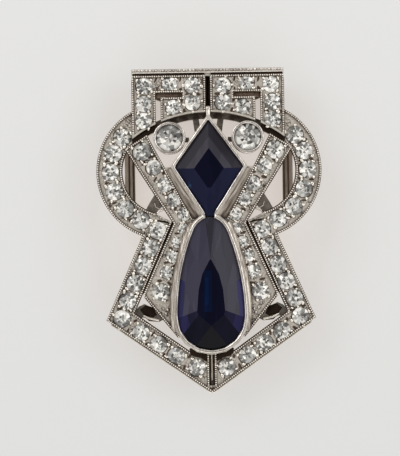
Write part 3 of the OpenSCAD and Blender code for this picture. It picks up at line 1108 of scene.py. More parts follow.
@dataclass
class PaveField:
    """A field of small diamonds with the metal grains that hold them, and the metal cut round them, dark with
    painted shade.
    """

    name: str
    face: float
    rows: tuple[tuple[Setting, ...], ...]
    seed: int
    fill: float = 1.01
    cut_fill: float = 1.065
    gain: float = 1.0
    lift: float = 0.02
    tilt: Flat = (-5.0, 5.0)
    grain_r: float = 0.25
    grain_turns: tuple[float, ...] = (38.0, 142.0, 218.0, 322.0)
    grain_sway: Flat = (-5, 5)
    grain_away: float = 0.35
    grain_long: Flat = (0.75, 1.4)
    grain_wide: Flat = (0.6, 1.0)
    full_grain_d: float = 1.8
    cut_away: Flat = (0.04, 0.1)
    cut_over: Flat = (-0.02, 0.05)
    wedge_away: float = 0.31
    wedge_sway: Flat = (0.0, 0.12)
    wedge_slide: Flat = (-0.1, 0.1)
    wedge_turn: Flat = (60, 120)
    wedge_long: Flat = (0.24, 0.38)
    wedge_wide: Flat = (0.11, 0.19)
    wedge_deep: float = 1.2

    def __post_init__(self) -> None:
        """Seed the source of the field's small differences."""
        self.chance = random.Random(self.seed)

    def seats(self) -> list[Seat]:
        """Return the seats of both sides, in the order that they are filled."""
        return [Seat(side, row, index, self.face) for side in Side for row in self.rows for index in range(len(row))]

    def build(self, patterns: Patterns) -> None:
        """Set the stones, lay the dark cut of painted shade round each and raise the grains.

        Args:
            patterns: The shapes that are copied.
        """
        stones, grains, cut_shades = [], [], []
        for seat in self.seats():
            stones.append(self.set_stone(patterns, seat))
            grains.extend(self.grains(seat))
            cut_shades.append(self.cut_round(seat))
            cut_shades.extend(self.wedges(seat))
        name = f"{self.name}_brilliants"
        Bench.hand_over(Bench.join(name, stones), DIAMOND, MetalSlot.DIAMOND, (f"{self.name}_diamonds",))
        Bench.hand_over(Bench.repeat(f"{name}_grains", patterns.bead, grains), POLISHED)
        Bench.hand_over(Bench.repeat(f"{name}_cuts", patterns.dish, cut_shades), CUT_SHADE)

    def set_stone(self, patterns: Patterns, seat: Seat) -> Piece:
        """Copy the brilliant into one seat, turned and slightly tilted as hand-set stones are.

        Args:
            patterns: The shapes that are copied.
            seat: The seat of the stone.

        Returns:
            The stone.
        """
        stone = Bench.twin(patterns.stone)
        patterns.brilliant.colour(stone, self.chance, self.gain)
        lean = [Matrix.Rotation(math.radians(self.chance.uniform(*self.tilt)), 4, axis) for axis in "XY"]
        home = seat.home(seat.stone.x, seat.stone.y, self.lift)
        size = [self.fill * seat.stone.d / 2] * 3
        turned = pose(Vector(), self.chance.uniform(0, math.tau), *size)
        stone.data.transform(Matrix.Translation(home) @ lean[0] @ lean[1] @ turned)
        return stone

    def grains(self, seat: Seat) -> list[Matrix]:
        """Return the places of the grains round one stone.

        Args:
            seat: The seat of the stone.

        Returns:
            A matrix for each grain.
        """
        stone, heading, chance = seat.stone, seat.heading(), self.chance
        size = self.grain_r * min(1.0, stone.d / self.full_grain_d)
        reach = self.cut_fill * stone.d / 2 + size * self.grain_away
        placed = []
        for turn in self.grain_turns:
            toward = heading + math.radians(turn + chance.uniform(*self.grain_sway))
            long, wide = size * chance.uniform(*self.grain_long), size * chance.uniform(*self.grain_wide)
            home = seat.home(stone.x + reach * math.cos(toward), stone.y + reach * math.sin(toward), self.lift)
            placed.append(pose(home, chance.uniform(0, math.tau), long, wide, size))
        return placed

    def cut_round(self, seat: Seat) -> Matrix:
        """Return the place of the dark cut of painted shade round one stone, a little off its middle, as a cut made
        by hand is.

        Args:
            seat: The seat of the stone.

        Returns:
            The matrix of the cut.
        """
        stone, chance = seat.stone, self.chance
        away, toward = chance.uniform(*self.cut_away), chance.uniform(0, math.tau)
        x, y = seat.side.place((stone.x, stone.y))
        turn = chance.uniform(0, math.tau)
        size = [self.cut_fill * stone.d / 2 + chance.uniform(*self.cut_over) for _ in range(2)]
        return pose(at((x + away * math.cos(toward), y + away * math.sin(toward)), seat.face), turn, *size, 1)

    def wedges(self, seat: Seat) -> list[Matrix]:
        """Return the places of the two dark wedges of painted shade beside a row between one stone and the next.

        Args:
            seat: The seat of the stone.

        Returns:
            A matrix for each wedge, none after the last stone of a row.
        """
        if seat.index + 1 == len(seat.row):
            return []
        here, there, chance = seat.stone, seat.row[seat.index + 1], self.chance
        heading = math.atan2(there.y - here.y, there.x - here.x)
        along, across = math.cos(heading), math.sin(heading)
        placed = []
        for way in (-1, 1):
            reach = way * (self.wedge_away * (here.d + there.d) / 2 + chance.uniform(*self.wedge_sway))
            slide = chance.uniform(*self.wedge_slide)
            home = seat.home((here.x + there.x) / 2 - reach * across + slide * along,
                             (here.y + there.y) / 2 + reach * along + slide * across)
            turn = heading + way * math.radians(chance.uniform(*self.wedge_turn))
            turn = turn if seat.side is Side.RIGHT else math.pi - turn
            size = chance.uniform(*self.wedge_long), chance.uniform(*self.wedge_wide), self.wedge_deep
            placed.append(pose(home, turn, *size))
        return placed


@dataclass
class Milgrain:
    """The rows of fine beads that are rolled along the rims, each on a flat dark wire of painted shade."""

    pitch: float = 0.26
    bead_r: float = 0.108
    bead_sizes: Flat = (0.88, 1.08)
    base_pitch: float = 0.6
    base_r: float = 0.138
    base_flatness: float = 0.2
    bedding: float = 0.01
    seed: int = 5
    skirt_foot: tuple[Flat, ...] = ((12.06, -10.27), (0.0, -18.77))
    slot: tuple[Flat, ...] = ((0.44, -14.2), (0.44, -18.0))
    fret: tuple[Flat, ...] = (
        (0.28, 13.9), (0.28, 18.16), (8.86, 18.16), (8.86, 11.4), (6.13, 12.6), (6.13, 16.17), (2.96, 16.17),
        (2.96, 15.6), (5.49, 15.6), (5.49, 12.85),
    )

    def lines(self) -> list[tuple[list[Flat], float]]:
        """Return the middle lines of the right side's rims, each with the height of its rim.

        Returns:
            Each line with its height.
        """
        half = LEVELS.rim_w / 2
        ring = arc(PLAN.ring_centre, PLAN.ring_r - half, *PLAN.ring_turns)
        strap, skirt, fret = (inset(outline, half) for outline in (PLAN.strap, PLAN.skirt, self.fret))
        return [
            (ring, LEVELS.frame_rim),
            (arc(PLAN.ring_centre, PLAN.ring_in_r + half, *PLAN.ring_in_turns), LEVELS.frame_rim),
            ([ring[-1], *self.skirt_foot], LEVELS.frame_rim),
            ([skirt[0], skirt[6], skirt[5]], LEVELS.frame_rim),
            (list(self.slot), LEVELS.frame_rim),
            (strap[:5], LEVELS.strap_rim),
            ([strap[0], strap[7]], LEVELS.strap_rim),
            (fret[:4], LEVELS.panel_rim),
            (fret[4:], LEVELS.panel_rim),
        ]

    def build(self, bead: Piece) -> None:
        """Roll the beads along every rim of both sides.

        Args:
            bead: The bead that is copied.
        """
        chance = random.Random(self.seed)
        places, shade_bases = [], []
        for line, height in self.lines():
            for side in Side:
                # Painted shade: a flat dark wire under each row darkens the rim round the beads.
                path = raised(walk(line, self.base_pitch), height - self.bedding, side)
                shade_base = Bench.wire("rim_shade_base", path, self.base_r, roundness=1)
                with Bench.editing(shade_base):
                    Bench.press(1, self.base_flatness, path[0].z)
                shade_bases.append(shade_base)
            for spot in walk(line, self.pitch):
                for side in Side:
                    size = [self.bead_r * chance.uniform(*self.bead_sizes)] * 3
                    places.append(pose(at(side.place(spot), height + self.bedding), 0.0, *size))
        Bench.hand_over(Bench.repeat("milgrain", bead, places), POLISHED)
        Bench.hand_over(Bench.join("rim_shade_bases", shade_bases), CUT_SHADE)


@dataclass(frozen=True)
class ToneRule:
    """The tone of the crown facets that face towards one turn, on the left and on the right, painted lit or shaded
    by that turn.
    """

    turn: float
    left: Triple
    right: Triple
    rim: Triple | None = None
    rim_from: float = 0.0


# Facet tones of the sapphires: their blue, painted lighter as sheen, glint and spark or darker as shade, by the way
# each facet faces.
SHEEN = srgb(63, 61, 70)
SHEEN_LEFT = srgb(63, 61, 75)
SHADE = srgb(50, 48, 56)
UPPER_SHEEN = srgb(60, 58, 66)
UPPER_LEFT_SHEEN = srgb(56, 54, 62)
DUSK_LEFT = srgb(43, 41, 48)
SHEEN_RIM = srgb(49, 48, 84)
VIOLET = srgb(36, 34, 68)
INDIGO = srgb(26, 25, 47)
ABYSS = srgb(14, 14, 29)
NAVY = srgb(24, 26, 50)
NIGHT = srgb(7, 7, 13)
DEEP = srgb(9, 10, 29)
GLINT = srgb(7, 25, 58)
GLINT_EDGE = srgb(7, 18, 44)
SPARK = srgb(38, 62, 90)
SPARK_EDGE = srgb(26, 38, 62)


@dataclass(frozen=True)
class Glint:
    """A painted patch of light inside a stone, seen through its table or through one crown facet."""

    west: float
    east: float
    south: float
    north: float
    tone: Triple = GLINT
    turn: float | None = None
    crown_slopes: Flat = (0.1, 0.99)
    same_way: float = 0.995

    def seen_through(self, face: Any) -> bool:
        """Say whether a face is the one that the patch shows through.

        Args:
            face: The face of the stone.

        Returns:
            Whether the patch shows through it.
        """
        if self.turn is None:
            return face.normal.z > LEVEL_FACE
        if not self.crown_slopes[0] < face.normal.z < self.crown_slopes[1]:
            return False
        return face.normal.xy.normalized().dot(direction(self.turn).xy) > self.same_way

    def holds(self, spot: Vector) -> bool:
        """Say whether a point of the plan, in millimetres, lies in the patch."""
        return self.west < spot.x < self.east and self.south < spot.y < self.north


@dataclass
class Sapphire:
    """A large sapphire, ground from a prism over its outline."""

    name: str
    outline: list[Flat]
    table: tuple[Flat, ...]
    keel: list[Flat]
    rules: tuple[ToneRule, ...]
    glints: tuple[Glint, ...]
    low: float = 3.98
    girdle_half: float = 0.08
    crown_slope: float = 0.1
    wall_slope: float = 0.05

    @staticmethod
    def reach(points: Iterable[Flat], out: Vector) -> float:
        """Return how far an outline reaches in a direction."""
        return max(point[0] * out.x + point[1] * out.y for point in points)

    def cut(self) -> Piece:
        """Raise the prism, and grind both sides of the stone.

        Returns:
            The stone.
        """
        stone = Bench.prism(f"{self.name}_stone", raised(self.outline, self.low), (LEVELS.table - self.low) * MM)
        for rule in self.rules:
            for turn in sorted({rule.turn % 360, (180 - rule.turn) % 360}):
                self.grind_pair(stone, direction(turn))
        return stone

    def grind_pair(self, stone: Piece, out: Vector) -> None:
        """Grind the crown facet and the pavilion facet that face one way.

        Args:
            stone: The stone.
            out: The level direction that they face.
        """
        rim = self.reach(self.outline, out)
        for end, height, start in (
            (self.table, LEVELS.table, LEVELS.girdle + self.girdle_half),
            (self.keel, self.low, LEVELS.girdle - self.girdle_half),
        ):
            run, rise = rim - self.reach(end, out), height - start
            facing = (out * abs(rise) + Vector((0, 0, math.copysign(run, rise)))).normalized()
            Lap.grind(stone, (out * rim + Vector((0, 0, start))) * MM, facing)

    def tone(self, face: bpy.types.MeshPolygon) -> Triple:
        """Return a facet's colour with its painted light, by the way that it faces or, on the table, by its place.

        Args:
            face: The facet.

        Returns:
            Its linear colour.
        """
        lit = [found for found in self.glints if found.seen_through(face) and found.holds(face.center / MM)]
        if lit:
            return lit[0].tone
        if face.normal.z > LEVEL_FACE:
            return DEEP
        if face.normal.z < self.wall_slope:
            return NAVY
        turn = math.degrees(math.atan2(face.normal.y, abs(face.normal.x)))
        rule = min(self.rules, key=lambda found: abs(found.turn - turn))
        out = direction(rule.turn)
        if rule.rim and abs(face.center.x) * out.x + face.center.y * out.y > rule.rim_from * MM:
            return rule.rim
        return rule.left if face.normal.x < 0 else rule.right

    def build(self) -> None:
        """Cut the stone, give its facets their tones and painted light, and put it in its bezel."""
        stone = self.cut()
        for rule in self.rules:
            for turn in (rule.turn, 180 - rule.turn) if rule.rim else ():
                out = direction(turn)
                Lap.score(stone, lambda face: face.normal.z > self.crown_slope, out * rule.rim_from * MM, out)
        for found in self.glints:
            for edge in (found.west, found.east):
                Lap.score(stone, found.seen_through, at((edge, 0), LEVELS.table), Vector((1, 0, 0)))
            for edge in (found.south, found.north):
                Lap.score(stone, found.seen_through, at((0, edge), LEVELS.table), Vector((0, 1, 0)))
        Lap.tint(stone, self.tone)
        Bench.hand_over(stone, SAPPHIRE, MetalSlot.SAPPHIRE, (f"{self.name}_sapphire",))


@dataclass(frozen=True)
class KiteSize:
    """The kite sapphire's corners."""

    top: float = 12.9
    half_w: float = 3.98
    side_y: float = 7.48
    foot: float = 1.12
    cut: float = 1.74

    def corners(self, grow: float = 0.0) -> list[Flat]:
        """Return the outline with its foot cut off, grown outward.

        Args:
            grow: How far it is grown outward.

        Returns:
            The corners, clockwise from the top.
        """
        foot = (self.half_w * (self.cut - self.foot) / (self.side_y - self.foot), self.cut)
        right = [(self.half_w, self.side_y), foot]
        return inset([(0.0, self.top), *right, *map(Side.LEFT.place, reversed(right))], -grow)


@dataclass(frozen=True)
class PearSize:
    """The pear sapphire's arcs."""

    half_w: float = 3.9
    end_y: float = -10.0
    side_r: float = 26.8
    shoulder_r: float = 2.6
    shoulder_turn: float = 22.0
    top: float = 1.6
    side_share: float = 0.9
    end_turns: Flat = (-15, -75)

    def side(self, grow: float, steps: int) -> list[Flat]:
        """Return the right side from the top down to the round end.

        Args:
            grow: How far the outline is grown outward.
            steps: Stretches on each arc.

        Returns:
            The points of the side.
        """
        side_x = self.half_w - self.side_r
        turn = math.radians(self.shoulder_turn)
        reach = self.side_r - self.shoulder_r
        shoulder = (side_x + reach * math.cos(turn), self.end_y + reach * math.sin(turn))
        top_turn = math.degrees(math.asin((self.top + grow - shoulder[1]) / (self.shoulder_r + grow)))
        return [
            *arc(shoulder, self.shoulder_r + grow, top_turn, self.shoulder_turn, steps),
            *arc((side_x, self.end_y), self.side_r + grow, self.shoulder_turn * self.side_share, 0, steps),
            *arc((0.0, self.end_y), self.half_w + grow, *self.end_turns, steps),
        ]

    def outline(self, grow: float = 0.0, steps: int = 6) -> list[Flat]:
        """Return the whole outline, clockwise from its top right.

        Args:
            grow: How far it is grown outward.
            steps: Stretches on each arc.

        Returns:
            The points of the outline.
        """
        right = self.side(grow, steps)
        return [*right, (0.0, self.end_y - self.half_w - grow), *map(Side.LEFT.place, reversed(right))]


KITE = KiteSize()
PEAR = PearSize()


@dataclass
class BezelLips:
    """The burnished lips of the four bezels, which lie over the edges of the large stones."""

    pear_r: float = 0.19
    pear_pitch: float = 0.45
    pear_steps: int = 9
    pear_middle: float = 0.2
    kite_r: float = 0.165
    kite_pitch: float = 0.5
    kite_middle: float = 0.19
    round_r: float = 0.16
    round_middle_r: float = 1.74
    round_steps: int = 40
    round_sunk: float = 0.03
    flatness: float = 0.5
    waver: float = 0.03
    weld: float = 1e-8
    neck: Flat = (0.62, 1.92)
    collar_r: float = 0.5
    collar_z: float = 6.06
    collar_grow: float = 0.42
    collar_steps: int = 8
    collar_ends: Flat = (-12.1, 0.9)

    def build(self) -> None:
        """Burnish all four lips."""
        kite = KITE.corners(self.kite_middle)
        left, right = Side.LEFT.place(self.neck), self.neck
        line = walk([left, kite[4], kite[0], kite[1], right], self.kite_pitch)
        self.finish("kite_bezel_lip", line, LEVELS.bezel_top, self.kite_r)
        pear = PEAR.outline(self.pear_middle, self.pear_steps)
        pear = [point for point in pear if abs(point[0]) > self.neck[0] or point[1] < 0]
        line = walk([right, *pear, left], self.pear_pitch)
        self.finish("pear_bezel_lip", line, LEVELS.bezel_top, self.pear_r)
        for side in Side:
            loop = arc(side.place(PLAN.round_bezel), self.round_middle_r, 0, 360, self.round_steps)[:-1]
            height = LEVELS.round_bezel_top - self.round_sunk
            self.finish(side.named("round_bezel_lip"), loop, height, self.round_r, True)
            self.collar(side)

    def finish(self, name: str, line: list[Flat], height: float, radius: float, closed: bool = False) -> None:
        """Make one lip as a wire with a slightly uneven, hand-worked surface.

        Args:
            name: Name of the piece.
            line: Its middle line in plan.
            height: Height of the middle line.
            radius: Half width of the lip.
            closed: Whether it is a loop.
        """
        lip = Bench.wire(name, raised(line, height), radius, closed)
        with Bench.editing(lip):
            bpy.ops.mesh.remove_doubles(threshold=self.weld)
            Bench.press(1, self.flatness, height * MM)
            bpy.ops.transform.vertex_random(offset=self.waver * MM, seed=len(line))
        Bench.hand_over(lip, BURNISHED)

    def collar(self, side: Side) -> None:
        """Round off the outer wall of the pear's bezel over one flank.

        Args:
            side: The flank's side.
        """
        low, high = self.collar_ends
        line = [point for point in PEAR.side(self.collar_grow, self.collar_steps) if low < point[1] < high]
        path = raised(line, self.collar_z, side)
        Bench.hand_over(Bench.wire(side.named("pear_collar"), path, self.collar_r), BRUSHED)


@dataclass
class Aprons:
    """The sloped and striated strips between the kite's bezel and the straps."""

    kite_side: tuple[Flat, Flat] = ((4.22, 7.36), (0.86, 1.72))
    strap_side: tuple[Flat, Flat] = ((5.05, 7.1), (1.98, 1.35))
    high: float = 6.74
    low: float = 5.83
    thickness: float = 0.3

    def build(self) -> None:
        """Make the strip of each side."""
        for side in Side:
            top, foot = raised(self.kite_side, self.high, side)
            corners = [top, *raised(self.strap_side, self.low, side), foot]
            Bench.hand_over(Bench.slab(side.named("apron"), corners, -self.thickness * MM), SLOPED)


@dataclass
class RailEdge:
    """The engraved beads on the rail, the post at the kite's tip and the grains in the corners of the flanks."""

    half_l: float = 8.71
    line_y: float = 18.74
    pitch: float = 0.4
    bead_r: float = 0.2
    bead_wide: Flat = (0.7, 1.3)
    bead_deep: Flat = (0.6, 1.0)
    bead_high: float = 0.8
    bead_turn: Flat = (5, 35)
    bead_slide: Flat = (-0.08, 0.08)
    post: Flat = (0.0, 14.25)
    post_r: float = 0.36
    grain_sizes: Flat = (0.85, 1.1)
    grain_lift: float = 0.05
    corner_grains: tuple[Flat, ...] = (
        (5.05, -9.15), (5.55, -9.05), (5.25, -9.6), (4.75, -9.85), (4.55, -10.4),
        (5.12, 7.15), (4.86, 7.3), (4.98, 6.8),
    )
    seed: int = 9

    def build(self, bead: Piece) -> None:
        """Place the beads.

        Args:
            bead: The bead that is copied.
        """
        chance = random.Random(self.seed)
        places = []
        for x, y in walk([(-self.half_l, self.line_y), (self.half_l, self.line_y)], self.pitch):
            wide, deep = (self.bead_r * chance.uniform(*share) for share in (self.bead_wide, self.bead_deep))
            turn = math.radians(chance.uniform(*self.bead_turn))
            home = at((x + chance.uniform(*self.bead_slide), y), LEVELS.panel_rim)
            places.append(pose(home, turn, wide, deep, self.bead_r * self.bead_high))
        places.append(pose(at(self.post, LEVELS.panel_rim), 0.0, *[self.post_r] * 3))
        for side in Side:
            for home in raised(self.corner_grains, LEVELS.strap_face + self.grain_lift, side):
                places.append(pose(home, 0.0, *[self.bead_r * chance.uniform(*self.grain_sizes)] * 3))
        Bench.hand_over(Bench.repeat("rail_beads", bead, places), BURNISHED)


@dataclass
class Wires:
    """Fine wires: the rail's line, the skirt's ledge, the kite's post, the edges of webs, and dark wires of painted
    shade along the windows.
    """

    rail_r: float = 0.09
    rail_end: Flat = (8.8, 18.5)
    rail_pitch: float = 0.8
    ledge_r: float = 0.11
    ledge_z: float = 4.62
    ledge_out: float = 0.17
    ledge_short: float = 0.75
    ledge_pitch: float = 0.7
    post: tuple[Flat, Flat] = ((0.0, 13.35), (0.0, 14.3))
    post_r: float = 0.27
    folds: tuple[tuple[float, tuple[Flat, ...]], ...] = (
        (0.07, ((6.41, 3.33), (6.29, 2.85), (5.7, 2.55), (5.1, 2.67))),
        (0.08, ((6.17, 2.14), (5.82, 2.37), (5.16, 2.55))),
        (0.17, ((7.95, -9.85), (7.2, -10.2), (6.1, -10.4))),
        (0.06, ((0.03, -14.5), (0.02, -17.5))),
    )
    fold_z: float = 4.93
    edge_r: float = 0.08
    edge_pitch: float = 0.6
    frame_edge_z: float = 5.3
    strap_edge_z: float = 5.45

    def ledge(self) -> list[Flat]:
        """Return the middle line of the ledge under the skirt.

        Returns:
            The points of the line, from right to left.
        """
        corner, apex = Vector(PLAN.skirt[2]), Vector(PLAN.skirt[3])
        along = (apex - corner).normalized()
        start = corner + along * self.ledge_short + Vector((-along.y, along.x)) * self.ledge_out
        tip = (0.0, start.y - start.x * along.y / along.x)
        return walk([tuple(start), tip, (-start.x, start.y)], self.ledge_pitch)

    def build(self) -> None:
        """Draw all the wires."""
        rail = walk([Side.LEFT.place(self.rail_end), self.rail_end], self.rail_pitch)
        self.draw("rail_line", rail, LEVELS.panel_rim, self.rail_r)
        self.draw("skirt_ledge", self.ledge(), self.ledge_z, self.ledge_r)
        self.draw("kite_post", self.post, LEVELS.panel_rim, self.post_r)
        edges = (
            (arc(PLAN.ring_centre, PLAN.ring_in_r, *PLAN.ring_in_turns), self.frame_edge_z),
            ([PLAN.skirt[0], PLAN.skirt[6], PLAN.skirt[5]], self.frame_edge_z),
            (PLAN.strap[1:5], self.strap_edge_z),
        )
        for side in Side:
            for index, (radius, line) in enumerate(self.folds):
                self.draw(f"{side.named('web_fold')}_{index}", line, self.fold_z, radius, side)
            # Painted shade: dark wires along the rims' edges on the windows' side.
            for index, (line, height) in enumerate(edges):
                edge = walk(line, self.edge_pitch)
                self.draw(f"{side.named('rim_edge')}_{index}", edge, height, self.edge_r, side, SHADOW_DARK)

    @staticmethod
    def draw(
        name: str,
        line: Iterable[Flat],
        height: float,
        radius: float,
        side: Side = Side.RIGHT,
        finish: MetalFinish = POLISHED,
    ) -> None:
        """Draw one wire.

        Args:
            name: Name of the piece.
            line: Its middle line in plan, on the right half.
            height: Height of the middle line.
            radius: Radius of the wire.
            side: The half that it lies on.
            finish: Its metal.
        """
        Bench.hand_over(Bench.wire(name, raised(line, height, side), radius), finish)


def box(west: float, east: float, south: float, north: float) -> tuple[Flat, ...]:
    """Return the corners of an upright rectangle."""
    return ((west, south), (east, south), (east, north), (west, north))


@dataclass(frozen=True)
class Patch:
    """A dark strip of painted shade on both halves: its outline on the right half, the height of its underside and
    its finish.
    """

    name: str
    low: float
    finish: MetalFinish
    outline: tuple[Flat, ...]
    slot: MetalSlot = MetalSlot.PLATINUM


@dataclass
class DarkGaps:
    """Painted shade: dark strips at the bottom of the slots, in the shadowed gaps between the parts of the mount and
    on the clip's arms.
    """

    thickness: float = 0.3
    patches: tuple[Patch, ...] = (
        Patch("slot_bars", 4.75, SHADED, box(2.7, 6.2, 15.62, 16.4)),
        Patch("slot_middle", 4.75, SHADOW_DARK, box(-0.1, 0.5, 14.0, 18.05)),
        Patch("rail_shadow", 5.92, SHADOW_DARK, box(0.36, 8.72, 18.16, 18.42)),
        Patch("neck_gap", 6.04, SHADOW_DARK, box(-0.1, 0.5, 1.59, 1.75)),
        Patch("leg_gap", 5.5, SHADOW_DARK, (
            (9.0, 10.9), (8.5, 11.3), (7.3, 11.85), (6.3, 12.45), (6.15, 12.1), (6.9, 11.25), (7.2, 11.22),
            (8.85, 10.22),
        )),
        Patch("under_pear", 5.36, SHADOW_DARK, (
            (0.52, -14.3), (1.1, -14.18), (1.7, -13.97), (2.4, -13.6), (2.62, -13.8), (2.52, -14.3), (2.2, -14.62),
            (1.75, -14.74), (1.25, -14.86), (0.9, -15.15), (0.52, -15.2),
        )),
        Patch("leg_web_shadow", 4.55, SHADOW_DARK, (
            (6.8, -8.9), (7.66, -8.6), (8.36, -9.14), (7.89, -9.76), (6.8, -10.07), (6.33, -9.76),
        )),
        Patch("ring_foot", 5.13, SHADOW_DARK, (
            (6.33, 1.4), (6.33, 1.26), (5.41, 1.02), (4.94, 0.92), (4.6, 0.72), (4.34, 0.62), (4.17, 0.92),
            (4.34, 1.09), (4.87, 1.16), (5.41, 1.24),
        )),
        Patch("arm_shade_inner", 0.74, CUT_SHADE, box(8.85, 9.1, 2.4, 11.6), MetalSlot.WHITE_GOLD),
        Patch("arm_shade_outer", 0.74, CUT_SHADE, box(9.36, 9.58, 2.4, 11.6), MetalSlot.WHITE_GOLD),
    )

    def build(self) -> None:
        """Make each pair of strips as one piece."""
        for patch in self.patches:
            outlines = [raised(patch.outline, patch.low, side) for side in Side]
            strips = [Bench.slab(patch.name, outline, self.thickness * MM) for outline in outlines]
            Bench.hand_over(Bench.join(patch.name, strips), patch.finish, patch.slot)


@dataclass
class RoundDiamonds:
    """The two larger diamonds beside the kite."""

    d: float = 3.15
    gain: float = 0.88
    seed: int = 21

    def build(self, patterns: Patterns) -> None:
        """Set both stones.

        Args:
            patterns: The shapes that are copied.
        """
        chance = random.Random(self.seed)
        for side in Side:
            home = at(side.place(PLAN.round_bezel), LEVELS.round_girdle)
            placed = pose(home, chance.uniform(0, math.tau), *[self.d / 2] * 3)
            stone = Bench.twin(patterns.stone)
            patterns.brilliant.colour(stone, chance, self.gain)
            stone.data.transform(placed)
            stone.name = stone.data.name = side.named("round_brilliant")
            Bench.hand_over(stone, DIAMOND, MetalSlot.DIAMOND, (side.named("round_diamond"),))


@dataclass
class Stonework:
    """All the diamonds of the brooch, in its five fields and two round bezels."""

    fret: tuple[Setting, ...] = settings(
        (7.38, 16.98, 1.8), (4.5, 17.15, 1.7), (1.78, 16.95, 1.8), (1.74, 14.93, 1.8), (4.02, 14.42, 1.7),
    )
    fret_column: tuple[Setting, ...] = settings((7.5, 14.9, 1.8), (7.53, 12.9, 1.8))
    ring_row_r: float = 6.37
    ring_d: float = 2.0
    ring_turns: tuple[float, ...] = (39.5, 20.0, 0.0, -21.0, -42.5, -63.5)
    strap: tuple[Setting, ...] = settings(
        (7.8, 9.37, 2.15), (6.45, 7.48, 1.8), (5.16, 5.46, 1.75), (4.13, 3.67, 1.65), (2.98, 1.98, 1.6),
    )
    flank: tuple[Setting, ...] = settings(
        (3.08, 0.3, 1.2), (3.8, -1.3, 1.25), (4.42, -3.0, 1.4), (5.08, -4.78, 1.45), (5.8, -7.12, 1.95),
    )
    skirt: tuple[Setting, ...] = settings(
        (6.07, 0.1, 2.0), (6.98, -1.95, 2.0), (7.86, -4.0, 2.0), (8.82, -6.04, 2.0), (9.74, -8.05, 2.0),
        (10.45, -10.13, 2.0), (8.24, -11.8, 2.0), (6.2, -13.24, 2.0), (4.17, -14.6, 2.0), (1.75, -15.95, 2.0),
    )

    def fields(self) -> list[PaveField]:
        """Return the five fields.

        Returns:
            The fields, in the order that they are set.
        """
        spots = [arc(PLAN.ring_centre, self.ring_row_r, turn, turn, 1)[0] for turn in self.ring_turns]
        ring = settings(*((*spot, self.ring_d) for spot in spots))
        panel = (self.fret, self.fret_column)
        return [
            PaveField("fret", LEVELS.panel_face, panel, seed=11, fill=1.06, cut_fill=1.1, gain=1.08),
            PaveField("ring", LEVELS.frame_face, (ring,), seed=12),
            PaveField("strap", LEVELS.strap_face, (self.strap,), seed=13),
            PaveField("flank", LEVELS.strap_face, (self.flank,), seed=14, fill=1.04, gain=1.1),
            PaveField("skirt", LEVELS.frame_face, (self.skirt,), seed=15),
        ]

    def build(self, bead: Piece) -> None:
        """Cut the brilliant once and set every diamond.

        Args:
            bead: The bead that is copied.
        """
        brilliant = Brilliant()
        patterns = Patterns(brilliant, brilliant.cut(), bead, GraverCut().dish())
        for pave in self.fields():
            pave.build(patterns)
        RoundDiamonds().build(patterns)
        Bench.discard(patterns.stone, patterns.dish)


@dataclass
class Sapphires:
    """The two large sapphires."""

    kite_table: tuple[Flat, ...] = ((0.0, 9.58), (1.73, 7.25), (0.1, 5.0), (-0.1, 5.0), (-1.73, 7.25))
    kite_keel: Flat = (0.05, 0.2)
    kite_rules: tuple[ToneRule, ...] = (
        ToneRule(36.4, UPPER_LEFT_SHEEN, UPPER_SHEEN, DUSK_LEFT, 6.5),
        ToneRule(-34.0, NAVY, NAVY),
        ToneRule(-90.0, NAVY, NAVY),
    )
    kite_glints: tuple[Glint, ...] = (
        Glint(-2.5, -2.22, 5.42, 5.72, SPARK_EDGE, 214.0),
        Glint(-2.4, -2.1, 5.12, 5.42, SPARK, 214.0),
        Glint(-2.22, -1.98, 4.9, 5.12, SPARK_EDGE, 214.0),
    )
    pear_table: tuple[Flat, ...] = (
        (0.0, -3.3), (0.96, -5.0), (1.42, -6.9), (1.5, -9.7), (0.0, -11.0),
        (-1.5, -9.7), (-1.42, -6.9), (-0.96, -5.0),
    )
    pear_keel: Flat = (0.05, 0.3)
    pear_middle: float = -8.2
    pear_rules: tuple[ToneRule, ...] = (
        ToneRule(90.0, SHADE, SHADE),
        ToneRule(50.0, SHEEN_LEFT, SHEEN),
        ToneRule(28.0, SHEEN_LEFT, SHEEN),
        ToneRule(14.0, SHEEN_LEFT, SHEEN),
        ToneRule(5.0, SHEEN_LEFT, SHEEN, SHEEN_RIM, 2.45),
        ToneRule(-16.0, INDIGO, INDIGO, VIOLET, 5.4),
        ToneRule(-50.0, ABYSS, ABYSS),
        ToneRule(-72.0, NIGHT, NIGHT),
        ToneRule(-90.0, NIGHT, NIGHT),
    )
    pear_glints: tuple[Glint, ...] = (
        Glint(-0.62, -0.28, -8.6, -5.4),
        Glint(-0.8, 0.12, -9.4, -4.6, GLINT_EDGE),
    )

    @staticmethod
    def keel(outline: list[Flat], middle: float, shares: Flat) -> list[Flat]:
        """Return an outline shrunk across and along about a point on the Y axis."""
        return [(x * shares[0], middle + (y - middle) * shares[1]) for x, y in outline]

    def build(self) -> None:
        """Cut and set both stones."""
        kite, pear = KITE.corners(), PEAR.outline()
        kite_keel = self.keel(kite, KITE.side_y, self.kite_keel)
        pear_keel = self.keel(pear, self.pear_middle, self.pear_keel)
        Sapphire("kite", kite, self.kite_table, kite_keel, self.kite_rules, self.kite_glints).build()
        Sapphire("pear", pear, self.pear_table, pear_keel, self.pear_rules, self.pear_glints).build()


@dataclass
class FrameMetal:
    """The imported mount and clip, whose shapes stay and which get their metal here."""

    nodes: dict[str, Piece]

    def dress(self) -> None:
        """Put the finishes on the material slots of both nodes."""
        for name, finish in (("mount", PLATINUM), ("clip", WHITE_GOLD)):
            for place in self.nodes[name].material_slots:
                place.material = MATERIALS[finish.name]
            log.info("%s wears %s", name, finish.name)


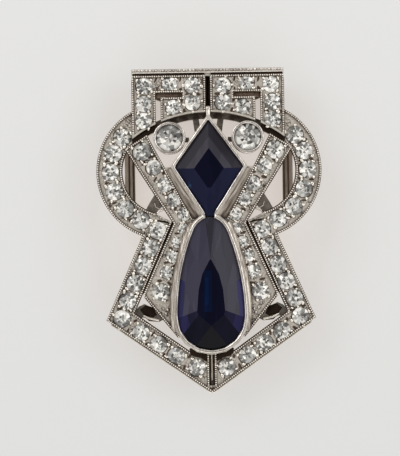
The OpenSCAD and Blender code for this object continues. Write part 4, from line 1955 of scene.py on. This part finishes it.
@dataclass
class Studio:
    """A plain pale floor, soft lights and the camera straight over the brooch."""

    centre: Flat = (-1.15, 0.33)
    turn: float = -0.9
    frame_h: float = 53.2
    lens: float = 150.0
    sensor: float = 36.0
    clip: Flat = (0.01, 10.0)
    focus_z: float = 5.8
    floor_size: float = 1.6
    floor_cuts: int = 3
    air: Ramp = (1.0, 0.99, 0.975, 1.0)
    ambient: float = 0.85
    overhead: float = 0.35
    hood: Flat = (0.8, 0.97)
    softboxes: tuple[tuple[Triple, float, float], ...] = (
        ((-0.32, 0.3, 0.42), 0.34, 0.85),
        ((0.36, 0.12, 0.4), 0.3, 0.4),
        ((0.0, -0.42, 0.36), 0.3, 0.3),
    )

    def build(self) -> None:
        """Set up the floor, the room's light, the softboxes and the camera."""
        self.lay_floor()
        self.light_room()
        for place, size, power in self.softboxes:
            bpy.ops.object.light_add(type="AREA", location=place)
            lamp = bpy.context.active_object
            lamp.data.size = size
            lamp.data.energy = power
            lamp.rotation_euler = (-Vector(place)).to_track_quat("-Z", "Y").to_euler()
        self.aim()

    def lay_floor(self) -> None:
        """Lay the paper that the brooch rests on."""
        Bench.pick_up()
        bpy.ops.mesh.primitive_plane_add(size=self.floor_size, location=(0, 0, 0))
        floor = Bench.newest("floor")
        with Bench.editing(floor):
            bpy.ops.mesh.subdivide(number_cuts=self.floor_cuts)
        floor.data.materials.append(FloorFinish().material())

    def light_room(self) -> None:
        """Set the even light of the room, which is dimmer straight overhead."""
        world = bpy.data.worlds.new("room")
        world.use_nodes = True
        tree = world.node_tree
        background = tree.nodes["Background"]
        background.inputs["Color"].default_value = self.air
        kinds = ("TexCoord", "SeparateXYZ", "MapRange")
        toward, height, dimmed = (tree.nodes.new(f"ShaderNode{kind}") for kind in kinds)
        tree.links.new(toward.outputs["Generated"], height.inputs[0])
        tree.links.new(height.outputs["Z"], dimmed.inputs["Value"])
        tree.links.new(dimmed.outputs["Result"], background.inputs["Strength"])
        keys = {"From Min": self.hood[0], "From Max": self.hood[1], "To Min": self.ambient, "To Max": self.overhead}
        for key, value in keys.items():
            dimmed.inputs[key].default_value = value
        bpy.context.scene.world = world

    def aim(self) -> None:
        """Hang the camera over the brooch."""
        scene = bpy.context.scene
        scene.view_settings.view_transform = "Standard"
        spot = at(self.centre, self.focus_z + self.frame_h * self.lens / self.sensor)
        bpy.ops.object.camera_add(location=spot, rotation=(0, 0, math.radians(self.turn)))
        scene.camera = bpy.context.active_object
        camera = scene.camera.data
        camera.lens = self.lens
        camera.sensor_width = self.sensor
        camera.clip_start, camera.clip_end = self.clip


def main() -> None:
    """Build every sub-assembly in order."""
    logging.basicConfig(level=logging.INFO, format="%(name)s: %(message)s")
    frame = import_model()
    MATERIALS.update({finish.name: finish.material() for finish in FINISHES})
    FrameMetal(frame["nodes"]).dress()
    bead = Grain().raise_bead()
    Stonework().build(bead)
    Sapphires().build()
    Milgrain().build(bead)
    RailEdge().build(bead)
    Bench.discard(bead)
    for made in (BezelLips, Aprons, Wires, DarkGaps, Studio):
        made().build()


if __name__ == "__main__":
    main()
